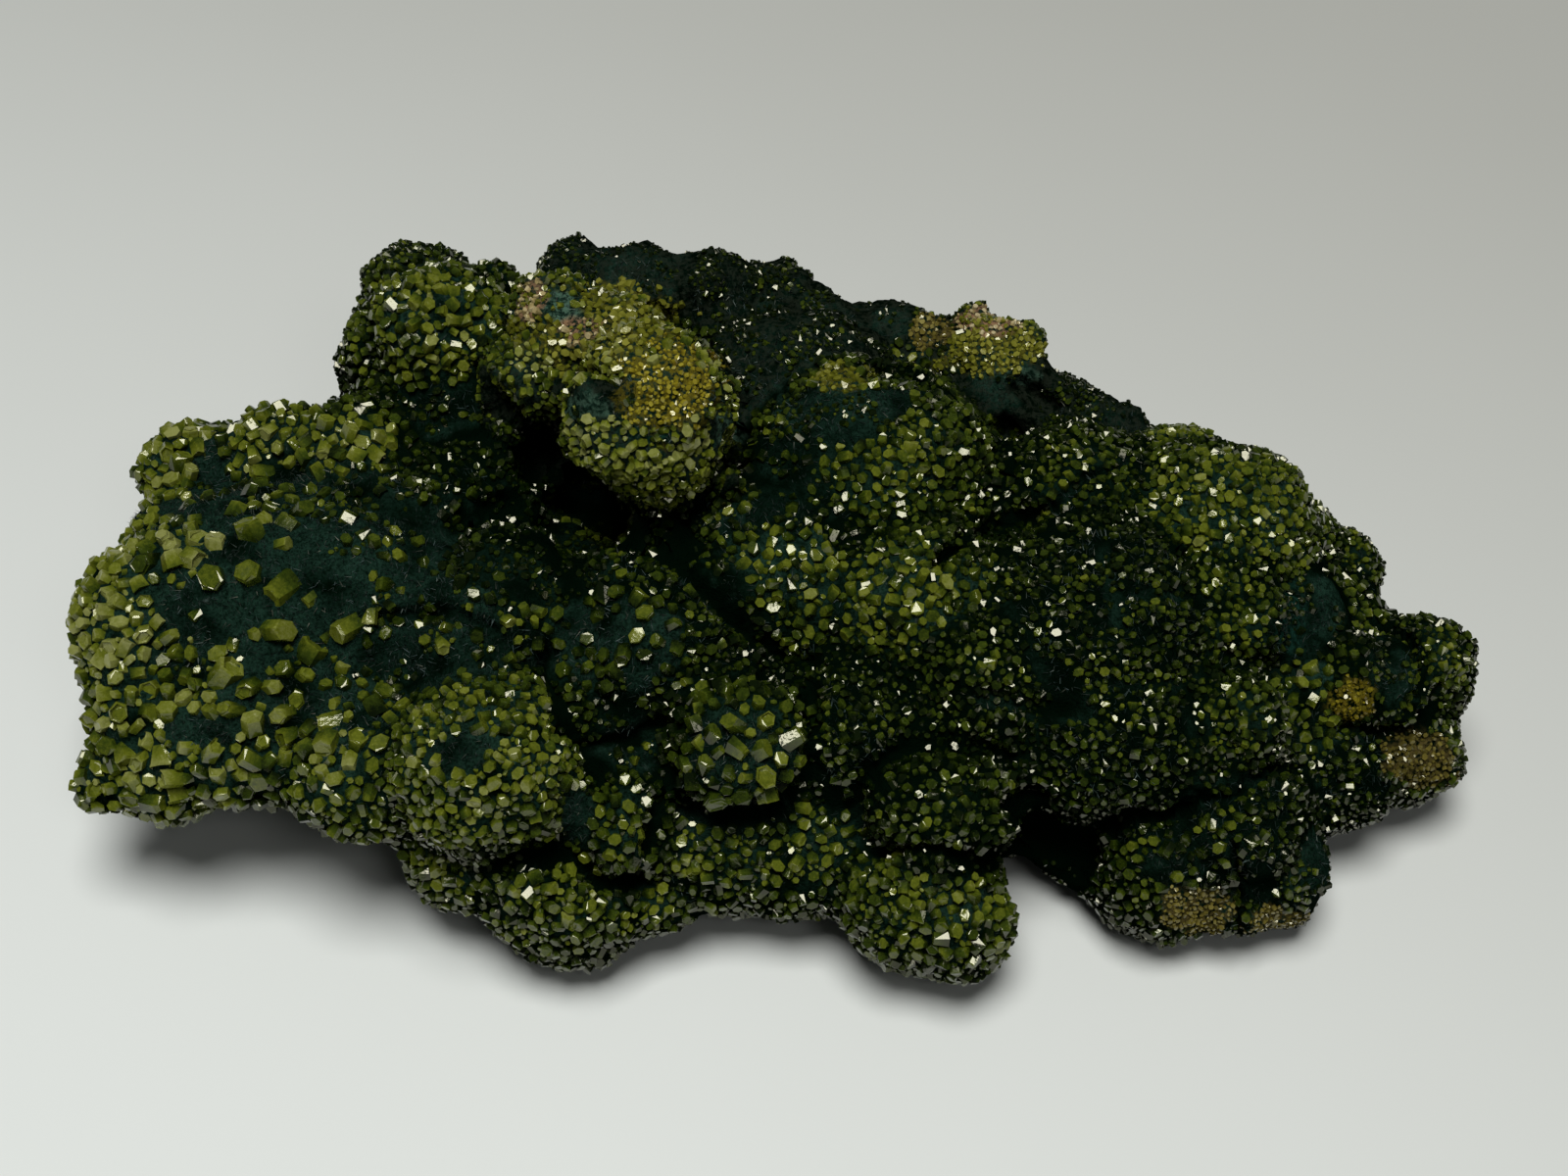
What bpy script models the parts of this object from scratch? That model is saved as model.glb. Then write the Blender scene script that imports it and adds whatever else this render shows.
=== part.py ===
"""A pyromorphite on malachite specimen, about 143 mm long, lying as it rests on a table.

The malachite is a mass of round lobes, cut flat where it lies on its broken base. The largest
six-sided pyromorphite crystals stand on it and are grown into it, so that the whole is one solid.
Metres, +Z up, +X along the length, and the origin under the middle.
"""

from collections import namedtuple
from math import cos, pi, radians, sin, sqrt

import bmesh
import bpy
import numpy as np
from mathutils import Matrix, Vector, noise
from mathutils.bvhtree import BVHTree

NODE_NAME = "pyromorphite_on_malachite"
MILLIMETRE = 0.001

# The lobes are measured as they are seen from the front, from this far above the level.
VIEW_ELEVATION = radians(50)
VIEW_DISTANCE = 222.0
VIEW_HEIGHT = 22.0
CENTRE_SHIFT = Vector((0.2, -6.3, 0.0))

# The malachite mass.
LOBE_SUBDIVISIONS = 3
VOXEL = 0.9
CREASE_SMOOTHING = 4
SMOOTHING_FACTOR = 0.5
SWELL_SIZE = 9.0
SWELL_HEIGHT = 0.9
MASS_TRIANGLES = 3100
CUT_TOLERANCE = 0.001

# The large crystals.
CRYSTAL_SPACING = 7.6
CRYSTAL_WANDER = 0.12
CRYSTAL_GAP = 0.5
CRYSTAL_STANDS = (0.35, 0.75)
CRYSTAL_WIDTH_SPREAD = 0.22
CRYSTAL_SUNK = 0.5
CRYSTAL_TILT = radians(38)
CRYSTAL_TAPER = 0.93
LOWEST_CRYSTAL = 4.0
HEXAGON = 6
SEED = 11

MALACHITE_COLOUR = (0.012, 0.045, 0.036, 1.0)
MALACHITE_ROUGHNESS = 0.85
PYROMORPHITE_COLOUR = (0.19, 0.20, 0.030, 1.0)
PYROMORPHITE_ROUGHNESS = 0.35

Lobe = namedtuple("Lobe", "name centre radii crystal")

# Name, across the view, up the view, height above the table, three radii, and the width of its
# large crystals, all in millimetres. A width of 0 is a lobe that carries only tiny ones.
SEEN_LOBES = (
    # The arm at the left, with its bare velvet cheek.
    ("nose", -65.0, -4.0, 22.0, (7.4, 9.5, 8.0), 2.5),
    ("nose_low", -64.0, -11.5, 19.0, (6.4, 6.5, 6.5), 2.5),
    ("left_tip", -63.0, -17.0, 16.5, (7.0, 7.0, 6.0), 2.7),
    ("tip_point", -69.5, -19.5, 15.0, (2.8, 3.0, 2.4), 2.0),
    ("left_top", -59.5, 11.5, 21.0, (6.0, 6.2, 5.8), 2.2),
    ("left_saddle", -60.5, 3.0, 21.0, (7.0, 7.5, 6.5), 2.4),
    ("ridge", -51.0, 14.0, 23.0, (8.0, 6.5, 6.0), 1.9),
    ("ridge_inner", -43.0, 14.0, 25.0, (7.0, 7.0, 6.5), 1.8),
    ("cheek", -53.0, -2.5, 20.0, (16.0, 14.0, 12.0), 2.7),
    ("cheek_low", -53.5, -13.5, 19.0, (10.5, 9.0, 8.0), 2.3),
    ("cheek_inner", -41.0, 0.0, 22.0, (12.0, 13.0, 11.0), 1.9),
    ("cheek_front", -42.5, -17.5, 18.5, (8.0, 8.0, 7.6), 1.9),
    ("saddle", -32.0, 7.5, 22.5, (8.0, 8.0, 8.0), 1.5),
    # The left dome and the lobes at its foot.
    ("left_dome", -30.0, -17.5, 21.0, (10.0, 9.6, 9.6), 1.9),
    ("left_dome_back", -29.5, -4.0, 23.0, (10.5, 11.0, 9.5), 1.5),
    ("foot_left", -22.5, -32.0, 8.5, (8.0, 7.0, 8.6), 1.7),
    ("foot_left_side", -33.0, -28.5, 12.0, (6.0, 6.0, 5.5), 1.7),
    ("finger", -16.0, -25.0, 15.0, (4.2, 5.0, 6.2), 1.7),
    ("finger_low", -12.0, -30.0, 10.0, (3.8, 4.5, 4.4), 1.6),
    # The knob at the back left.
    ("back_knob", -38.0, 30.0, 29.0, (6.2, 6.0, 6.0), 1.4),
    ("front_knob", -34.5, 25.5, 31.0, (8.2, 7.5, 8.4), 1.9),
    ("knob_left", -41.5, 23.0, 26.0, (4.6, 5.0, 7.5), 1.4),
    ("knob_right", -29.5, 29.0, 30.0, (3.6, 4.0, 5.5), 1.5),
    ("knob_root", -33.0, 17.0, 23.0, (8.5, 9.0, 9.0), 1.6),
    # The raised knob that overhangs the middle.
    ("perch_lump", -23.0, 28.0, 38.0, (5.2, 5.0, 4.6), 1.4),
    ("perch_left", -26.5, 21.5, 35.0, (4.2, 5.0, 5.5), 1.4),
    ("perch_mid", -17.5, 25.0, 37.0, (6.0, 5.5, 5.0), 1.5),
    ("perch", -13.0, 17.0, 39.0, (8.8, 8.5, 9.2), 1.7),
    ("perch_root", -20.0, 20.0, 27.0, (8.0, 9.0, 9.0), 0.0),
    # The dark lobes along the back, and the pale cap that stands up from them.
    ("rear_one", -22.0, 33.0, 25.0, (3.8, 4.5, 4.0), 0.0),
    ("rear_two", -14.5, 31.5, 25.0, (5.6, 6.5, 5.0), 0.0),
    ("rear_three", -6.5, 30.0, 25.0, (5.2, 6.0, 5.0), 0.0),
    ("rear_four", 0.0, 30.0, 24.0, (3.6, 4.5, 4.0), 0.0),
    ("rear_five", 5.0, 25.0, 24.0, (5.2, 6.0, 4.6), 0.0),
    ("rear_six", 10.5, 25.5, 24.0, (4.2, 4.5, 4.0), 0.0),
    ("cap", 20.0, 25.5, 27.0, (6.0, 4.0, 3.0), 1.4),
    ("cap_root", 22.0, 21.0, 23.0, (5.2, 6.0, 5.5), 0.0),
    ("rear_seven", 29.0, 18.0, 22.0, (4.0, 4.5, 4.0), 0.0),
    ("rear_eight", 34.5, 15.5, 21.0, (3.8, 4.5, 4.0), 0.0),
    # The middle.
    ("dome_back", 1.0, 19.0, 25.0, (11.5, 11.0, 9.5), 0.0),
    ("dome", 8.0, 11.0, 24.0, (14.5, 14.0, 12.5), 1.5),
    ("dome_front", 0.0, 2.0, 24.0, (10.0, 10.0, 8.8), 1.7),
    ("dome_lip", 13.0, -1.0, 23.5, (9.2, 9.0, 8.4), 1.6),
    ("middle_left", -12.0, -4.5, 22.0, (12.0, 11.0, 10.0), 1.8),
    ("middle", -5.5, -15.5, 21.0, (8.6, 8.0, 8.2), 2.2),
    ("middle_pit", -16.0, -16.0, 16.0, (6.0, 7.0, 7.0), 1.4),
    ("under_middle", -6.5, -27.0, 13.0, (6.0, 5.5, 6.0), 1.5),
    ("under_right", 1.5, -27.0, 13.0, (5.2, 6.0, 6.0), 1.5),
    ("hollow", 6.5, -15.0, 18.0, (8.0, 8.0, 8.0), 1.3),
    ("front_bump", 16.5, -22.5, 17.0, (7.6, 7.5, 6.8), 1.7),
    ("foot_middle", 14.5, -32.5, 9.0, (9.0, 8.0, 9.2), 1.7),
    # The right half.
    ("right_ledge", 20.0, -10.0, 20.0, (8.5, 9.0, 9.0), 1.3),
    ("right_back", 30.0, 9.0, 23.0, (9.0, 9.0, 8.0), 1.3),
    ("right_field", 31.0, -5.0, 20.0, (13.5, 13.5, 12.0), 1.3),
    ("right_front", 33.0, -15.5, 18.0, (10.0, 9.0, 8.5), 1.4),
    ("right_recess", 28.0, -24.0, 13.0, (6.6, 7.0, 6.0), 0.0),
    ("right_dome", 45.0, -14.5, 19.0, (6.2, 6.0, 6.5), 1.3),
    ("bright_dome", 44.0, 6.0, 23.0, (10.8, 9.5, 9.0), 1.5),
    ("bright_low", 43.0, -4.0, 20.0, (9.5, 9.0, 8.0), 1.4),
    ("right_top", 40.0, 11.5, 22.0, (6.2, 6.5, 5.8), 1.4),
    ("right_edge", 51.5, 5.0, 19.0, (5.0, 6.0, 5.2), 1.3),
    ("small_knob", 58.0, 2.5, 15.0, (3.4, 4.0, 3.5), 1.2),
    ("velvet_gap", 52.0, -3.5, 18.0, (6.2, 7.0, 6.0), 0.0),
    ("ochre_shelf", 57.0, -9.5, 17.0, (5.5, 5.5, 5.0), 1.3),
    ("end_top", 65.0, -8.0, 14.0, (5.4, 6.0, 6.2), 1.3),
    ("end_inner", 62.5, -10.0, 15.0, (4.4, 5.0, 4.8), 1.3),
    ("end_low", 63.5, -16.5, 9.5, (6.3, 6.0, 6.0), 1.4),
    ("end_root", 55.5, -18.0, 13.0, (7.0, 7.0, 7.0), 1.3),
    ("foot_right", 38.5, -30.5, 9.0, (8.0, 7.0, 9.2), 1.6),
    ("foot_right_side", 50.0, -28.0, 10.0, (5.2, 6.0, 6.5), 1.4),
    ("right_skirt", 45.5, -23.0, 13.0, (8.0, 8.0, 7.0), 1.4),
)

# The far side and the body inside, which the view doesn't show: name, place and radii.
FAR_LOBES = (
    ("core", (2.0, 3.0, 12.0), (42.0, 26.0, 11.5)),
    ("core_left", (-41.0, 1.0, 14.0), (25.0, 15.0, 9.0)),
    ("core_right", (44.0, -2.0, 12.0), (21.0, 17.0, 11.0)),
    ("core_front", (-2.0, -20.0, 9.0), (26.0, 10.0, 8.5)),
    ("core_back", (-10.0, 28.0, 14.0), (34.0, 15.0, 12.0)),
    ("perch_neck", (-13.0, 17.0, 30.0), (7.5, 8.0, 8.0)),
    ("cap_bed", (14.5, 30.0, 19.0), (8.0, 8.0, 7.5)),
    ("base", (2.0, 6.0, 4.0), (38.0, 24.0, 7.0)),
    ("far_left_end", (-55.0, 12.0, 13.0), (8.0, 8.0, 7.0)),
    ("far_left", (-46.0, 24.0, 14.0), (8.5, 8.5, 8.5)),
    ("far_left_knob", (-37.0, 33.0, 15.0), (9.0, 8.5, 9.5)),
    ("far_one", (-24.0, 39.0, 10.0), (9.0, 8.5, 10.5)),
    ("far_two", (-11.0, 42.0, 13.0), (8.0, 7.0, 8.5)),
    ("far_three", (2.0, 38.0, 9.0), (9.0, 8.0, 9.5)),
    ("far_four", (15.0, 33.0, 11.0), (8.5, 8.5, 9.0)),
    ("far_five", (28.0, 28.0, 9.0), (8.5, 7.0, 9.5)),
    ("far_six", (39.0, 21.0, 10.0), (8.0, 7.5, 7.5)),
    ("far_seven", (50.0, 13.0, 8.0), (7.5, 7.0, 8.5)),
    ("far_eight", (60.0, 4.0, 8.0), (6.0, 6.0, 6.0)),
    ("far_shelf_one", (-19.0, 41.0, 20.0), (7.0, 7.0, 6.5)),
    ("far_shelf_two", (-7.0, 37.0, 20.0), (7.5, 7.5, 6.5)),
    ("far_shelf_three", (7.0, 33.0, 19.0), (8.0, 6.5, 6.5)),
    ("far_shelf_four", (21.0, 28.0, 18.0), (8.0, 7.0, 6.5)),
    ("far_shelf_five", (33.0, 22.0, 17.0), (7.0, 6.5, 6.0)),
    ("far_shelf_six", (45.0, 14.0, 16.0), (7.0, 6.0, 6.0)),
)


def seen_place(across, up, height):
    """The place of a point from where it is seen in the view and its height above the table."""
    sine = sin(VIEW_ELEVATION)
    cosine = cos(VIEW_ELEVATION)
    above = height - VIEW_HEIGHT
    drop = above * sine / VIEW_DISTANCE
    back = (up * (1 - drop) - above * cosine) / (sine - up * cosine / VIEW_DISTANCE)
    nearer = above * sine - back * cosine
    return Vector((across * (1 - nearer / VIEW_DISTANCE), back, height))


def all_lobes():
    lobes = []
    for name, across, up, height, radii, crystal in SEEN_LOBES:
        centre = seen_place(across, up, height) + CENTRE_SHIFT
        lobes.append(Lobe(name, centre, Vector(radii), crystal))
    for name, place, radii in FAR_LOBES:
        lobes.append(Lobe(name, Vector(place) + CENTRE_SHIFT, Vector(radii), 0.0))
    return lobes


def clear_scene():
    for obj in list(bpy.data.objects):
        bpy.data.objects.remove(obj, do_unlink=True)


def new_collection(name):
    collection = bpy.data.collections.new(name)
    bpy.context.scene.collection.children.link(collection)
    return collection


def new_material(name, colour, roughness):
    material = bpy.data.materials.new(name)
    material.use_nodes = True
    shader = material.node_tree.nodes["Principled BSDF"]
    shader.inputs["Base Color"].default_value = colour
    shader.inputs["Roughness"].default_value = roughness
    shader.inputs["Metallic"].default_value = 0.0
    material.diffuse_color = colour
    return material


def add_object(name, mesh, collection):
    obj = bpy.data.objects.new(name, mesh)
    collection.objects.link(obj)
    return obj


def mesh_from(bm, name):
    mesh = bpy.data.meshes.new(name)
    bm.to_mesh(mesh)
    bm.free()
    return mesh


def bake_modifiers(obj):
    """Replaces the object's mesh by what its modifiers make of it."""
    graph = bpy.context.evaluated_depsgraph_get()
    old_mesh = obj.data
    obj.data = bpy.data.meshes.new_from_object(obj.evaluated_get(graph))
    obj.modifiers.clear()
    bpy.data.meshes.remove(old_mesh)


def swell(point):
    """The uneven growth of the lobes, in millimetres along the surface's normal."""
    return SWELL_HEIGHT * noise.noise(point / SWELL_SIZE)


def build_mass(lobes, collection):
    """The lobes fused, with softened creases and uneven growth, in few triangles."""
    bm = bmesh.new()
    for lobe in lobes:
        shape = Matrix.LocRotScale(lobe.centre, None, lobe.radii)
        bmesh.ops.create_icosphere(bm, subdivisions=LOBE_SUBDIVISIONS, radius=1.0, matrix=shape)
    mass = add_object("malachite_mass", mesh_from(bm, "malachite_mass"), collection)
    remesh = mass.modifiers.new("Fuse", "REMESH")
    remesh.mode = "VOXEL"
    remesh.voxel_size = VOXEL
    bake_modifiers(mass)
    for vertex in mass.data.vertices:
        vertex.co += vertex.normal * swell(vertex.co)
    soften = mass.modifiers.new("Soften", "SMOOTH")
    soften.factor = SMOOTHING_FACTOR
    soften.iterations = CREASE_SMOOTHING
    thin = mass.modifiers.new("Thin", "DECIMATE")
    # A quad of the voxel surface counts as two triangles.
    thin.ratio = MASS_TRIANGLES / (2 * len(mass.data.polygons))
    bake_modifiers(mass)
    return mass


def cut_base(mass):
    """Cuts the mass off flat on the table and closes the cut."""
    bm = bmesh.new()
    bm.from_mesh(mass.data)
    bmesh.ops.bisect_plane(
        bm,
        geom=bm.verts[:] + bm.edges[:] + bm.faces[:],
        dist=CUT_TOLERANCE,
        plane_co=(0.0, 0.0, 0.0),
        plane_no=(0.0, 0.0, 1.0),
        clear_inner=True,
    )
    rim = [edge for edge in bm.edges if edge.is_boundary]
    bmesh.ops.holes_fill(bm, edges=rim, sides=0)
    bmesh.ops.recalc_face_normals(bm, faces=bm.faces[:])
    bmesh.ops.triangulate(bm, faces=bm.faces[:])
    bm.to_mesh(mass.data)
    bm.free()


def even_directions(count):
    """Directions spread evenly over a sphere on a golden spiral."""
    golden = pi * (3 - sqrt(5))
    for i in range(count):
        z = 1 - (2 * i + 1) / count
        ring = sqrt(1 - z * z)
        yield Vector((ring * cos(golden * i), ring * sin(golden * i), z))


def covered(point, own, lobes):
    """Whether the point lies inside a lobe other than its own."""
    for lobe in lobes:
        if lobe is own:
            continue
        offset = point - lobe.centre
        if Vector(offset[k] / lobe.radii[k] for k in range(3)).length < 1.0:
            return True
    return False


def crystal_seats(mass, lobes, rng):
    """Where the large crystals stand: place on the surface, outward direction and width."""
    surface = BVHTree.FromPolygons(
        [vertex.co for vertex in mass.data.vertices],
        [polygon.vertices for polygon in mass.data.polygons],
    )
    seats = []
    for lobe in lobes:
        if lobe.crystal == 0.0:
            continue
        mean_radius = sum(lobe.radii) / 3
        count = round(4 * pi * mean_radius**2 / CRYSTAL_SPACING**2)
        for direction in even_directions(max(count, HEXAGON)):
            wander = Vector(rng.normal(0.0, CRYSTAL_WANDER, 3))
            ray = (direction + wander).normalized()
            point = lobe.centre + Vector(ray[k] * lobe.radii[k] for k in range(3))
            width = lobe.crystal * (1 + CRYSTAL_WIDTH_SPREAD * rng.uniform(-1, 1))
            if covered(point, lobe, lobes) or point.z < LOWEST_CRYSTAL:
                continue
            place, normal, _, _ = surface.find_nearest(point)
            gaps = [(place - other).length - width - its_width for other, _, its_width in seats]
            if min(gaps, default=CRYSTAL_GAP) >= CRYSTAL_GAP:
                seats.append((place, normal, width))
    return seats


def build_crystals(seats, rng, collection):
    """One six-sided prism on each seat, tilted a little and sunk in the mass."""
    bm = bmesh.new()
    for place, normal, width in seats:
        stands = width * rng.uniform(*CRYSTAL_STANDS)
        sunk = width * CRYSTAL_SUNK
        side = Vector(rng.normal(0.0, 1.0, 3)).cross(normal).normalized()
        axis = Matrix.Rotation(rng.uniform(0.0, CRYSTAL_TILT), 3, side) @ normal
        turn = axis.to_track_quat("Z", "Y").to_matrix().to_4x4()
        spin = Matrix.Rotation(rng.uniform(0.0, pi / 3), 4, "Z")
        middle = place + axis * (stands - sunk) / 2
        bmesh.ops.create_cone(
            bm,
            cap_ends=True,
            segments=HEXAGON,
            radius1=width / sqrt(3),
            radius2=CRYSTAL_TAPER * width / sqrt(3),
            depth=stands + sunk,
            matrix=Matrix.Translation(middle) @ turn @ spin,
        )
    return add_object("large_crystals", mesh_from(bm, "large_crystals"), collection)


def main():
    clear_scene()
    parts = new_collection("pyromorphite_specimen")
    helpers = new_collection("grown_in_shapes")
    rng = np.random.default_rng(SEED)
    lobes = all_lobes()

    specimen = build_mass(lobes, parts)
    cut_base(specimen)
    crystals = build_crystals(crystal_seats(specimen, lobes, rng), rng, helpers)
    crystals.hide_render = True
    crystals.display_type = "WIRE"
    for obj in (specimen, crystals):
        obj.data.transform(Matrix.Scale(MILLIMETRE, 4))

    specimen.name = NODE_NAME
    specimen.data.name = NODE_NAME
    malachite = new_material("malachite", MALACHITE_COLOUR, MALACHITE_ROUGHNESS)
    pyromorphite = new_material("pyromorphite", PYROMORPHITE_COLOUR, PYROMORPHITE_ROUGHNESS)
    specimen.data.materials.append(malachite)
    crystals.data.materials.append(pyromorphite)
    union = specimen.modifiers.new("Grown together", "BOOLEAN")
    union.operation = "UNION"
    union.solver = "EXACT"
    union.object = crystals


main()
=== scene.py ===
"""A pyromorphite on malachite specimen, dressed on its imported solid.

The malachite is one mass of round lobes under a dark velvet skin. Thousands of stubby six-sided
pyromorphite crystals grow on it, with crusts of much finer ones in a few places. All sizes in the
tables are millimetres, and the meshes are metres.
"""

from collections import namedtuple
from math import cos, pi, radians, sin

import bpy
import numpy as np
from bpy.props import FloatProperty, FloatVectorProperty, IntProperty, PointerProperty
from mathutils import Matrix, Vector, noise
from mathutils.bvhtree import BVHTree
from mathutils.kdtree import KDTree


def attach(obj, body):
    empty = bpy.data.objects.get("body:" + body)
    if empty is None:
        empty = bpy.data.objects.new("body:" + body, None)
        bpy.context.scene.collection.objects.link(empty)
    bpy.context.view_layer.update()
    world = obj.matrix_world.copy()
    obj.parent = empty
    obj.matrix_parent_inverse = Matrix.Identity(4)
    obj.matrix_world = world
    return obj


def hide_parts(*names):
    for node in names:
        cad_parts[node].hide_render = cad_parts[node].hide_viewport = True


bl_info = {
    "name": "Pyromorphite on malachite specimen",
    "version": (1, 0, 0),
    "blender": (4, 5, 0),
    "location": "View3D > Sidebar > Specimen",
    "description": "Grows a malachite mass and its pyromorphite crystals",
    "category": "Add Mesh",
}

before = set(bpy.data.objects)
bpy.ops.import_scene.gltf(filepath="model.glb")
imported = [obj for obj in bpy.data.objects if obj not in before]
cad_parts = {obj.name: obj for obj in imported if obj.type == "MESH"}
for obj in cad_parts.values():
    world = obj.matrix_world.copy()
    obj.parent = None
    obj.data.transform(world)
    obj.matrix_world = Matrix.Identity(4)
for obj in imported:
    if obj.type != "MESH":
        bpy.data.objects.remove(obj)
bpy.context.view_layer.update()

NODE = "pyromorphite_on_malachite"
BODY = "root"
MILLIMETRE = 0.001

# The lobes are measured as they are seen from the front, from this far above the level.
VIEW_ELEVATION = radians(50)
VIEW_DISTANCE = 222.0
VIEW_HEIGHT = 22.0
CENTRE_SHIFT = Vector((0.2, -6.3, 0.0))

Cover = namedtuple("Cover", "width share tint")
Lobe = namedtuple("Lobe", "name centre radii cover")
Patch = namedtuple("Patch", "name across up wide high crust cover")
Stain = namedtuple("Stain", "name across up wide high strength colour")
Prototype = namedtuple("Prototype", "places corners starts uv")
Seats = namedtuple("Seats", "places normals widths tints crusts")

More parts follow.
